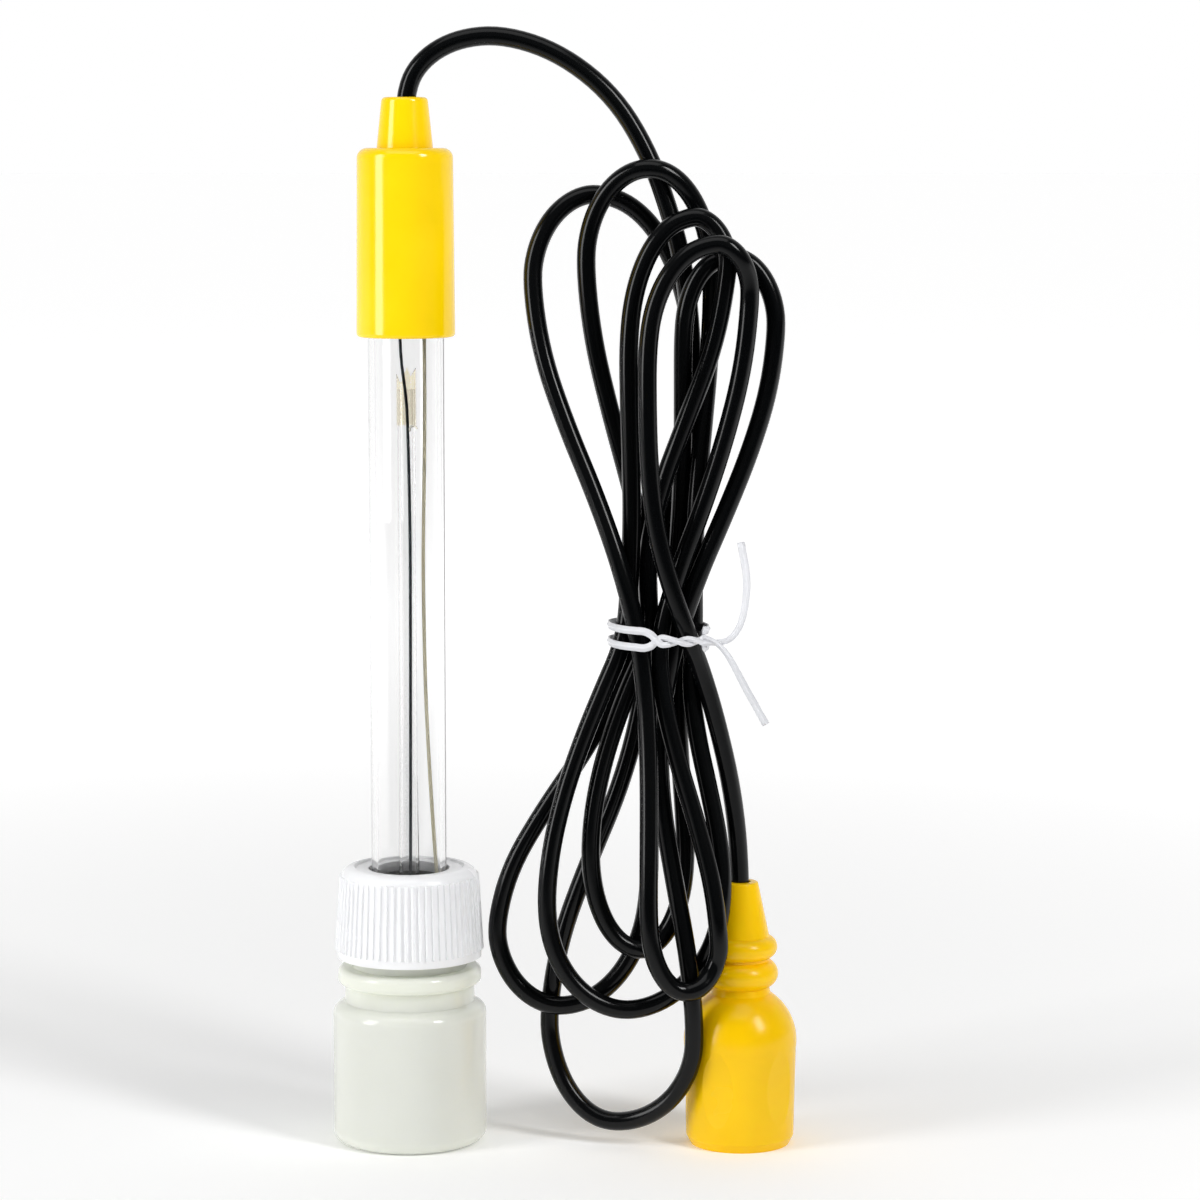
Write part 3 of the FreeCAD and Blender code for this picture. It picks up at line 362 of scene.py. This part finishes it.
def sweep(name, rows, section):
    """A closed solid. rows hold a place and a width direction, whose length scales the width."""
    places = [Vector(row[:3]) for row in rows]
    points = []
    for i, place in enumerate(places):
        ahead = (places[min(i + 1, len(places) - 1)] - places[max(i - 1, 0)]).normalized()
        given = Vector(rows[i][3:])
        wide = (given - ahead * given.dot(ahead)).normalized()
        out = wide.cross(ahead)
        points += [(place + wide * across * given.length + out * rise) * MM for across, rise in section]
    n = len(section)
    faces = [tuple(range(n))[::-1], tuple(range(len(points) - n, len(points)))]
    for ring in range(len(places) - 1):
        for k in range(n):
            a, b = ring * n + k, ring * n + (k + 1) % n
            faces.append((a, b, b + n, a + n))
    return add_mesh(name, points, faces)


# %% The bundle that the tie holds
TIE_HIGH = 82.5
TIE_REACH = 1.3
places_now = looks(len(route)) @ np.array(route)
BUNDLE = [Vector(place) for place in places_now if abs(place[2] - TIE_HIGH) < TIE_REACH]
BUNDLE_MIDDLE = sum(BUNDLE, Vector()) / len(BUNDLE)
print("places of strands under the tie:", len(BUNDLE))

# %% The tie's ring
# the wire in the strip is stiff, so the ring is the bundle's outline, averaged over these turns
ROUNDING = [math.radians(turn) for turn in range(-36, 37, 8)]
SMALL_TURN = math.radians(3)
TIE_TILT = 0.04


def reach(angle):
    """How far the rounded outline of the bundle stands out this way, from the bundle's middle."""
    total = 0
    for turn in ROUNDING:
        way = Vector((math.cos(angle + turn), math.sin(angle + turn), 0))
        total += max((place - BUNDLE_MIDDLE).dot(way) for place in BUNDLE)
    return total / len(ROUNDING)


def ring_point(angle, high, off):
    """A point of the tie's ring, so high above its middle and so far off the cords."""
    way = Vector((math.cos(angle), math.sin(angle), 0))
    side = Vector((-way.y, way.x, 0))
    slope = (reach(angle + SMALL_TURN) - reach(angle - SMALL_TURN)) / (2 * SMALL_TURN)
    place = BUNDLE_MIDDLE + way * (reach(angle) + CORD_DIAMETER / 2 + off) + side * slope
    return (place.x, place.y, TIE_HIGH + high + TIE_TILT * (BUNDLE_MIDDLE.x - place.x))


# %% The tie's own path, from its upper end round the bundle to its lower end
TIE_GAP = 0.5
BAND_WIDE = 0.62
TWIST_WIDE = 0.45
STRAND_APART = 1.3
TWIST_APART = 0.42
TWIST_LEAN = 0.35
MEET_OVER = 2.4
HALF_TURNS = 3
FRONT_ANGLE = 252
KNOT_ANGLE = 326
ROUND_BACK = 354
START_EARLY = 8
# each row holds a place and a width direction
END_UP = [
    (52.6, -9.4, 97.7, -0.62, -0.2, 0), (53.5, -9.3, 92.5, -0.62, -0.2, 0),
    (53.4, -9.1, 88.4, -0.6, -0.1, 0.1), (52.6, -8.9, 84.7, -0.5, 0, 0.3),
    (51.0, -8.7, 82.4, -0.3, 0, 0.45), (49.0, -8.4, 81.8, 0, 0, 0.5),
]
END_DOWN = [
    (49.0, -8.6, 81.6, 0.15, 0, 0.45), (50.9, -8.9, 79.4, 0.48, 0, 0.3),
    (53.6, -9.1, 74.4, 0.54, 0.1, 0.3), (56.7, -9.4, 68.9, 0.54, 0.1, 0.3),
]


def strand(high, first, last, count):
    """Rows round the bundle, from one angle to another, with the width upright."""
    rows = []
    for i in range(count + 1):
        angle = math.radians(first + (last - first) * i / count)
        rows.append((*ring_point(angle, high, TIE_GAP), 0, 0, BAND_WIDE))
    return rows


def twist(turn, count=12):
    """Rows along the front: a strand comes to the other one, winds round it and reaches the knot."""
    rows = []
    for i in range(count + 1):
        share = i / count
        near = 0.5 - 0.5 * math.cos(math.pi * min(1, MEET_OVER * share))
        angle = math.radians(FRONT_ANGLE + (KNOT_ANGLE - FRONT_ANGLE) * share)
        base = Vector(ring_point(angle, 0, TIE_GAP + near * (TWIST_APART + 0.15)))
        apart = STRAND_APART + (TWIST_APART - STRAND_APART) * near
        wide = BAND_WIDE + (TWIST_WIDE - BAND_WIDE) * near
        wound = turn + HALF_TURNS * math.pi * share
        base += Vector((0, -math.sin(wound) * TWIST_APART * near, math.cos(wound) * apart))
        rows.append((*base, 0, TWIST_LEAN * math.sin(wound) * wide, wide))
    return rows


def tie_rows():
    front, knot = FRONT_ANGLE - START_EARLY, KNOT_ANGLE - ROUND_BACK
    upper = strand(STRAND_APART, front, knot, 30)
    lower = strand(-STRAND_APART, knot, front, 30)
    return END_UP + twist(0)[::-1] + upper + lower + twist(math.pi) + END_DOWN


TIE_SECTION = [(-0.95, 0.12), (-0.95, -0.12), (-0.34, -0.12), (-0.24, -0.3), (0.0, -0.36),
               (0.24, -0.3), (0.34, -0.12), (0.95, -0.12), (0.95, 0.12), (0.34, 0.12),
               (0.24, 0.3), (0.0, 0.36), (-0.24, 0.3), (-0.34, 0.12)]
tie = sweep("tie_strip", smooth_row(tie_rows(), 4), TIE_SECTION)
print("faces of the tie:", len(tie.data.polygons))

# %% [markdown]
# ## Finishes
#
# Every finish is a procedural material. Nothing moulded is perfectly even: it has a faint
# flow in its colour, a little change of gloss, and a soft unevenness that only shows in the
# highlights. One shared node group gives these three, and each plastic sets its own strength.


# %% Colour and node helpers
def from_screen(red, green, blue):
    """A colour as picked on a screen, 0 to 255, as the linear numbers that Blender wants."""
    def linear(value):
        share = value / 255
        return share / 12.92 if share <= 0.04045 else ((share + 0.055) / 1.055) ** 2.4
    return (linear(red), linear(green), linear(blue), 1.0)


def wire(tree, source, target):
    tree.links.new(source, target)


def ramp(tree, source, from_min, from_max, to_min, to_max):
    """A smooth step between two values."""
    step = tree.nodes.new("ShaderNodeMapRange")
    step.interpolation_type = "SMOOTHSTEP"
    for label, value in (
            ("From Min", from_min), ("From Max", from_max), ("To Min", to_min), ("To Max", to_max)):
        step.inputs[label].default_value = value
    wire(tree, source, step.inputs["Value"])
    return step.outputs["Result"]


def new_material(name):
    material = bpy.data.materials.new(name)
    material.use_nodes = True
    return material, material.node_tree, material.node_tree.nodes["Principled BSDF"]


def dress(material, *names):
    for name in names:
        piece = bpy.data.objects.get(name)
        piece.data.materials.clear()
        piece.data.materials.append(material)


# %% The shared group: moulding marks
def moulding_marks():
    tree = bpy.data.node_groups.new("moulding_marks", "ShaderNodeTree")
    for label, default in (
            ("Flow size", 60.0), ("Grain size", 900.0), ("Shade", 0.04), ("Gloss change", 0.06)):
        socket = tree.interface.new_socket(label, in_out="INPUT", socket_type="NodeSocketFloat")
        socket.default_value = default
    for label in ("Tone", "Roughness shift", "Height"):
        tree.interface.new_socket(label, in_out="OUTPUT", socket_type="NodeSocketFloat")
    given = tree.nodes.new("NodeGroupInput")
    result = tree.nodes.new("NodeGroupOutput")
    place = tree.nodes.new("ShaderNodeTexCoord")
    flow = tree.nodes.new("ShaderNodeTexNoise")
    grain = tree.nodes.new("ShaderNodeTexNoise")
    flow.inputs["Detail"].default_value = 3
    grain.inputs["Detail"].default_value = 2
    wire(tree, place.outputs["Object"], flow.inputs["Vector"])
    wire(tree, place.outputs["Object"], grain.inputs["Vector"])
    wire(tree, given.outputs["Flow size"], flow.inputs["Scale"])
    wire(tree, given.outputs["Grain size"], grain.inputs["Scale"])
    centred = tree.nodes.new("ShaderNodeMath")
    centred.operation = "SUBTRACT"
    centred.inputs[1].default_value = 0.5
    wire(tree, flow.outputs["Fac"], centred.inputs[0])
    tone = tree.nodes.new("ShaderNodeMath")
    tone.operation = "MULTIPLY_ADD"
    tone.inputs[2].default_value = 1.0
    wire(tree, centred.outputs[0], tone.inputs[0])
    wire(tree, given.outputs["Shade"], tone.inputs[1])
    shift = tree.nodes.new("ShaderNodeMath")
    shift.operation = "MULTIPLY"
    wire(tree, centred.outputs[0], shift.inputs[0])
    wire(tree, given.outputs["Gloss change"], shift.inputs[1])
    wire(tree, tone.outputs[0], result.inputs["Tone"])
    wire(tree, shift.outputs[0], result.inputs["Roughness shift"])
    wire(tree, grain.outputs["Fac"], result.inputs["Height"])
    return tree


MARKS = moulding_marks()


def moulded(name, colour, rough, flow=60.0, grain=900.0, shade=0.3, gloss=0.2, bump=0.02):
    """A plastic or rubber with the shared marks. Returns its material and its shader node."""
    material, tree, shader = new_material(name)
    marks = tree.nodes.new("ShaderNodeGroup")
    marks.node_tree = MARKS
    for label, value in (
            ("Flow size", flow), ("Grain size", grain), ("Shade", shade), ("Gloss change", gloss)):
        marks.inputs[label].default_value = value
    tint = tree.nodes.new("ShaderNodeVectorMath")
    tint.operation = "SCALE"
    tint.inputs[0].default_value = colour[:3]
    wire(tree, marks.outputs["Tone"], tint.inputs["Scale"])
    wire(tree, tint.outputs["Vector"], shader.inputs["Base Color"])
    roughness = tree.nodes.new("ShaderNodeMath")
    roughness.inputs[1].default_value = rough
    wire(tree, marks.outputs["Roughness shift"], roughness.inputs[0])
    wire(tree, roughness.outputs[0], shader.inputs["Roughness"])
    relief = tree.nodes.new("ShaderNodeBump")
    relief.inputs["Strength"].default_value = bump
    relief.inputs["Distance"].default_value = 0.0005
    wire(tree, marks.outputs["Height"], relief.inputs["Height"])
    wire(tree, relief.outputs["Normal"], shader.inputs["Normal"])
    return material, shader


# %% Plastics and rubber
yellow_gloss, shader = moulded("yellow_gloss", from_screen(255, 213, 0), 0.16, bump=0.01)
dress(yellow_gloss, "head_cap")

yellow_soft, shader = moulded("yellow_soft", from_screen(255, 203, 0), 0.24, bump=0.03)
shader.inputs["Specular IOR Level"].default_value = 0.28
shader.inputs["Subsurface Weight"].default_value = 0.15
shader.inputs["Subsurface Radius"].default_value = (1.0, 0.5, 0.1)
shader.inputs["Subsurface Scale"].default_value = 0.002
dress(yellow_soft, "plug_boot")

milky_plastic, shader = moulded("milky_plastic", from_screen(236, 239, 226), 0.12,
                                shade=0.1, gloss=0.1, bump=0.01)
shader.inputs["Subsurface Weight"].default_value = 0.6
shader.inputs["Subsurface Radius"].default_value = (1.0, 1.0, 0.9)
shader.inputs["Subsurface Scale"].default_value = 0.003
dress(milky_plastic, "bottle")

white_plastic, shader = moulded("white_plastic", from_screen(250, 251, 254), 0.25, shade=0.1, bump=0.01)
shader.inputs["Subsurface Weight"].default_value = 0.5
shader.inputs["Subsurface Radius"].default_value = (1.0, 1.0, 1.0)
shader.inputs["Subsurface Scale"].default_value = 0.0012
dress(white_plastic, "bottle_cap")

black_cord, shader = moulded("black_cord", from_screen(5, 6, 7), 0.17, grain=160.0, bump=0.04)
shader.inputs["Specular IOR Level"].default_value = 0.24
dress(black_cord, "cord")

white_tie, shader = moulded("white_tie", from_screen(230, 231, 235), 0.3)
dress(white_tie, "tie_strip")

dark_rubber, shader = moulded("dark_rubber", from_screen(66, 66, 52), 0.5)
dress(dark_rubber, "seal_ring", "seal_washer", "plug_gasket")

resin, shader = moulded("resin", from_screen(190, 160, 90), 0.3)
dress(resin, "potting")

ceramic, shader = moulded("ceramic", from_screen(240, 238, 232), 0.7)
dress(ceramic, "junction_frit")

white_insulator, shader = moulded("white_insulator", from_screen(240, 240, 240), 0.5)
dress(white_insulator, "plug_insulator")

pale_wire, shader = moulded("pale_wire", from_screen(240, 232, 200), 0.35)
dress(pale_wire, "reference_wire")


# %% [markdown]
# Metals and glass. Metal gets its look from what it mirrors, so its colour is plain and only its
# gloss changes a little. The glass is a real solid with an inner and an outer wall, so the shader
# only needs a refraction index and almost no colour. Where the wall is seen at a slant its colour is
# painted darker. On the clear glass this is a painted grey shade for the dark lines along a tube's
# edges. On the amber sleeve it is a deeper amber, for the longer way through the tinted glass.


# %% Metals and glass
def metal(name, colour, rough, *names):
    material, shader = moulded(name, colour, rough, shade=0.1, bump=0.01)
    shader.inputs["Metallic"].default_value = 1.0
    dress(material, *names)


metal("nickel", from_screen(212, 210, 205), 0.25,
      "coupling_ring", "plug_body", "spring_washer", "crimp_ferrule")
metal("gold", from_screen(238, 208, 130), 0.2, "centre_contact")
metal("platinum", from_screen(226, 224, 220), 0.2, "sensor_pin")
metal("dark_wire", from_screen(90, 94, 98), 0.35, "sensor_lead")


EDGE_SHADE_FROM = 0.6


def glass(name, clear, edge, *names):
    material, tree, shader = new_material(name)
    slant = tree.nodes.new("ShaderNodeLayerWeight")
    slant.inputs["Blend"].default_value = 0.5
    tint = tree.nodes.new("ShaderNodeMix")
    tint.data_type = "RGBA"
    shade_and_tint_colours = [socket for socket in tint.inputs if socket.type == "RGBA"]
    shade_and_tint_colours[0].default_value = clear
    shade_and_tint_colours[1].default_value = edge
    # painted shade: the clear glass turns grey where it is seen at a slant, and the amber deepens there by its
    # tint
    wire(tree, ramp(tree, slant.outputs["Facing"], EDGE_SHADE_FROM, 1.0, 0.0, 1.0), tint.inputs["Factor"])
    result = [socket for socket in tint.outputs if socket.type == "RGBA"][0]
    wire(tree, result, shader.inputs["Base Color"])
    shader.inputs["Roughness"].default_value = 0.0
    shader.inputs["IOR"].default_value = 1.47
    shader.inputs["Transmission Weight"].default_value = 1.0
    dress(material, *names)


# the second colour of each glass is its colour at a slant: a painted grey shade on the clear glass, a deeper
# tint on the amber
glass("clear_glass", from_screen(253, 253, 253), from_screen(214, 216, 217),
      "glass_body", "inner_stem")
glass("amber_glass", from_screen(254, 250, 238), from_screen(226, 196, 110),
      "stem_sleeve", "stem_hook")

# %% [markdown]
# ## The thread under the cap
#
# When the cap is screwed up, the bottle's thread comes into view. A thread is a rounded ridge that
# climbs round the neck by one pitch a turn, so it follows a rule, and a few geometry nodes draw it:
# a spiral gives the path, a circle gives the ridge, and the ridge thins out at both ends, as a
# moulded thread does.

# %% A node tree for a thread
THREAD_TURNS = 2.3
THREAD_PITCH = 3.0
THREAD_RADIUS = 9.25
THREAD_START = 33.4
RIDGE_RADIUS = 0.5


def thread_tree():
    tree = bpy.data.node_groups.new("thread_ridge", "GeometryNodeTree")
    for label in ("Turns", "Radius", "Climb", "Start height", "Ridge radius"):
        tree.interface.new_socket(label, in_out="INPUT", socket_type="NodeSocketFloat")
    tree.interface.new_socket("Material", in_out="INPUT", socket_type="NodeSocketMaterial")
    tree.interface.new_socket("Geometry", in_out="OUTPUT", socket_type="NodeSocketGeometry")
    given = tree.nodes.new("NodeGroupInput")
    path = tree.nodes.new("GeometryNodeCurveSpiral")
    path.inputs["Resolution"].default_value = 40
    path.inputs["Reverse"].default_value = True
    for label, source in (
            ("Rotations", "Turns"), ("Start Radius", "Radius"),
            ("End Radius", "Radius"), ("Height", "Climb")):
        wire(tree, given.outputs[source], path.inputs[label])
    up = tree.nodes.new("ShaderNodeCombineXYZ")
    wire(tree, given.outputs["Start height"], up.inputs["Z"])
    lift = tree.nodes.new("GeometryNodeSetPosition")
    wire(tree, path.outputs["Curve"], lift.inputs["Geometry"])
    wire(tree, up.outputs["Vector"], lift.inputs["Offset"])
    ridge = tree.nodes.new("GeometryNodeCurvePrimitiveCircle")
    ridge.inputs["Resolution"].default_value = 12
    wire(tree, given.outputs["Ridge radius"], ridge.inputs["Radius"])
    solid = tree.nodes.new("GeometryNodeCurveToMesh")
    solid.inputs["Fill Caps"].default_value = True
    wire(tree, thin_ends(tree, lift.outputs["Geometry"]), solid.inputs["Curve"])
    wire(tree, ridge.outputs["Curve"], solid.inputs["Profile Curve"])
    finish_tree(tree, given, solid.outputs["Mesh"])
    return tree


def thin_ends(tree, curve):
    """The ridge grows from a tenth to its full thickness over the first and last tenth of the path."""
    along = tree.nodes.new("GeometryNodeSplineParameter")
    middle = tree.nodes.new("ShaderNodeMath")
    middle.operation = "PINGPONG"
    middle.inputs[1].default_value = 0.5
    wire(tree, along.outputs["Factor"], middle.inputs[0])
    thick = tree.nodes.new("GeometryNodeSetCurveRadius")
    wire(tree, curve, thick.inputs["Curve"])
    wire(tree, ramp(tree, middle.outputs[0], 0.0, 0.1, 0.1, 1.0), thick.inputs["Radius"])
    return thick.outputs["Curve"]


def finish_tree(tree, given, mesh):
    real = tree.nodes.new("GeometryNodeRealizeInstances")
    finish = tree.nodes.new("GeometryNodeSetMaterial")
    result = tree.nodes.new("NodeGroupOutput")
    wire(tree, mesh, real.inputs["Geometry"])
    wire(tree, real.outputs["Geometry"], finish.inputs["Geometry"])
    wire(tree, given.outputs["Material"], finish.inputs["Material"])
    wire(tree, finish.outputs["Geometry"], result.inputs["Geometry"])


# %% The thread as a plain mesh
def run_tree(name, tree, values):
    """Give a new piece the tree, set its inputs by their sockets' identifiers, and keep the result."""
    piece = add_mesh(name, [(0, 0, 0)], [])
    nodes_on = piece.modifiers.new("nodes", "NODES")
    nodes_on.node_group = tree
    for socket in tree.interface.items_tree:
        if socket.in_out == "INPUT":
            nodes_on[socket.identifier] = values[socket.name]
    bpy.context.view_layer.update()
    ready = piece.evaluated_get(bpy.context.evaluated_depsgraph_get())
    mesh = bpy.data.meshes.new_from_object(ready)
    mesh.polygons.foreach_set("use_smooth", [True] * len(mesh.polygons))
    piece.modifiers.clear()
    piece.data = mesh
    print(name, "has", len(mesh.polygons), "faces")
    return piece


def add_thread():
    return run_tree("bottle_thread", thread_tree(), {
        "Turns": THREAD_TURNS, "Radius": THREAD_RADIUS * MM, "Climb": THREAD_TURNS * THREAD_PITCH * MM,
        "Start height": THREAD_START * MM, "Ridge radius": RIDGE_RADIUS * MM, "Material": milky_plastic})


thread = add_thread()
heights = [vertex.co.z / MM for vertex in thread.data.vertices]
print("the thread goes from", round(min(heights), 2), "to", round(max(heights), 2), "mm up")

# %% [markdown]
# ## The studio
#
# A product table is white under and behind the object and dark where the photographer stands. A tall
# softbox stands far round on the left, so its reflection is the narrow bright line on the head and on
# each strand of the cord. A second one hangs high on the right and only shows on what faces up, such
# as the boot's dome. The world is white to the camera. To everything else it is bright behind
# and dim in front, so a black cord stays black and clear glass gets its grey edges. What goes straight
# through the glass to the back finds it white, as the camera does. The floor glows
# more the further it is from the object, as a lit sweep of paper does, so no horizon shows. What
# mirrors the front of the table sees it dark, because a real table ends there.


# %% Floor, lights and world
FLOOR_HALF = 30.0
GLOW_NEAR, GLOW_FAR = 0.10, 0.68
GLOW_FROM, GLOW_TO = 0.02, 0.75
WORLD_FRONT, WORLD_BACK = 0.09, 0.84
WORLD_FROM, WORLD_TO = -0.2, 0.9
THROUGH_FROM = 0.8
WHITE_SIDE = (0.0, 1.0, 0.0)
FRONT_FADE = 0.35
LAMPS = {
    # place, size across and up, power in watts
    "softbox_left": ((-0.86, -0.46, 0.30), (0.34, 0.90), 6.6),
    "softbox_right": ((0.66, -0.55, 0.64), (0.22, 0.44), 4.6),
    "softbox_top": ((-0.05, -0.30, 0.95), (0.90, 0.60), 2.2),
}
LAMPS_AIM = (0.02, 0.0, 0.08)


def hide_front(tree, place, shader):
    """Mirror rays that reach the table in front of the object find it dark."""
    part = tree.nodes.new("ShaderNodeSeparateXYZ")
    wire(tree, place.outputs["Object"], part.inputs[0])
    front = ramp(tree, part.outputs["Y"], -FRONT_FADE, 0.0, 1.0, 0.0)
    rays = tree.nodes.new("ShaderNodeLightPath")
    share = tree.nodes.new("ShaderNodeMath")
    share.operation = "MULTIPLY"
    wire(tree, rays.outputs["Is Glossy Ray"], share.inputs[0])
    wire(tree, front, share.inputs[1])
    dark = tree.nodes.new("ShaderNodeBsdfDiffuse")
    dark.inputs["Color"].default_value = (0.02, 0.02, 0.02, 1)
    both = tree.nodes.new("ShaderNodeMixShader")
    wire(tree, share.outputs[0], both.inputs["Fac"])
    wire(tree, shader.outputs["BSDF"], both.inputs[1])
    wire(tree, dark.outputs["BSDF"], both.inputs[2])
    wire(tree, both.outputs["Shader"], tree.nodes["Material Output"].inputs["Surface"])


def add_floor():
    corners = [(x * FLOOR_HALF, y * FLOOR_HALF, 0) for x, y in ((-1, -1), (1, -1), (1, 1), (-1, 1))]
    floor = add_mesh("studio_floor", corners, [(0, 1, 2, 3)])
    material, shader = moulded("studio_white", from_screen(250, 250, 250), 0.9, flow=3.0, shade=0.01, bump=0.0)
    tree = material.node_tree
    place = tree.nodes.new("ShaderNodeTexCoord")
    away = tree.nodes.new("ShaderNodeVectorMath")
    away.operation = "LENGTH"
    wire(tree, place.outputs["Object"], away.inputs[0])
    glow = ramp(tree, away.outputs["Value"], GLOW_FROM, GLOW_TO, GLOW_NEAR, GLOW_FAR)
    shader.inputs["Emission Color"].default_value = (1, 1, 1, 1)
    wire(tree, glow, shader.inputs["Emission Strength"])
    shader.inputs["Specular IOR Level"].default_value = 0.1
    hide_front(tree, place, shader)
    dress(material, "studio_floor")


def add_lamp(name, place, size, power):
    data = bpy.data.lights.new(name, "AREA")
    data.shape = "RECTANGLE"
    data.size, data.size_y = size
    data.energy = power
    lamp = bpy.data.objects.new(name, data)
    lamp.location = place
    lamp.rotation_euler = (Vector(LAMPS_AIM) - Vector(place)).to_track_quat("-Z", "Y").to_euler()
    scene.collection.objects.link(lamp)


def add_world():
    world = bpy.data.worlds.new("studio_world")
    scene.world = world
    world.use_nodes = True
    tree = world.node_tree
    background = tree.nodes["Background"]
    background.inputs["Color"].default_value = (1, 1, 1, 1)
    direction = tree.nodes.new("ShaderNodeTexCoord")
    along = tree.nodes.new("ShaderNodeVectorMath")
    along.operation = "DOT_PRODUCT"
    along.inputs[1].default_value = WHITE_SIDE
    wire(tree, direction.outputs["Generated"], along.inputs[0])
    depth = ramp(tree, along.outputs["Value"], WORLD_FROM, WORLD_TO, WORLD_FRONT, WORLD_BACK)
    seen = tree.nodes.new("ShaderNodeLightPath")
    through = tree.nodes.new("ShaderNodeMath")
    through.operation = "MULTIPLY"
    wire(tree, seen.outputs["Is Transmission Ray"], through.inputs[0])
    wire(tree, ramp(tree, along.outputs["Value"], THROUGH_FROM, 1.0, 0.0, 1.0), through.inputs[1])
    white = tree.nodes.new("ShaderNodeMath")
    white.operation = "MAXIMUM"
    wire(tree, seen.outputs["Is Camera Ray"], white.inputs[0])
    wire(tree, through.outputs[0], white.inputs[1])
    strength = tree.nodes.new("ShaderNodeMath")
    strength.operation = "MAXIMUM"
    wire(tree, white.outputs[0], strength.inputs[0])
    wire(tree, depth, strength.inputs[1])
    wire(tree, strength.outputs[0], background.inputs["Strength"])


add_floor()
for lamp_name, (place, size, power) in LAMPS.items():
    add_lamp(lamp_name, place, size, power)
add_world()
scene.view_settings.view_transform = "Standard"
print("lamps:", ", ".join(LAMPS))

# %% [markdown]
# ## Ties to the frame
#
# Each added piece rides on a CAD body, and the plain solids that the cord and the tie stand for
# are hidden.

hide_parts("cord_arch", "cord_hank", "cord_tail")
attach(cord, "electrode")
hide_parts("twist_tie")
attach(tie, "electrode")
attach(thread, "bottle")
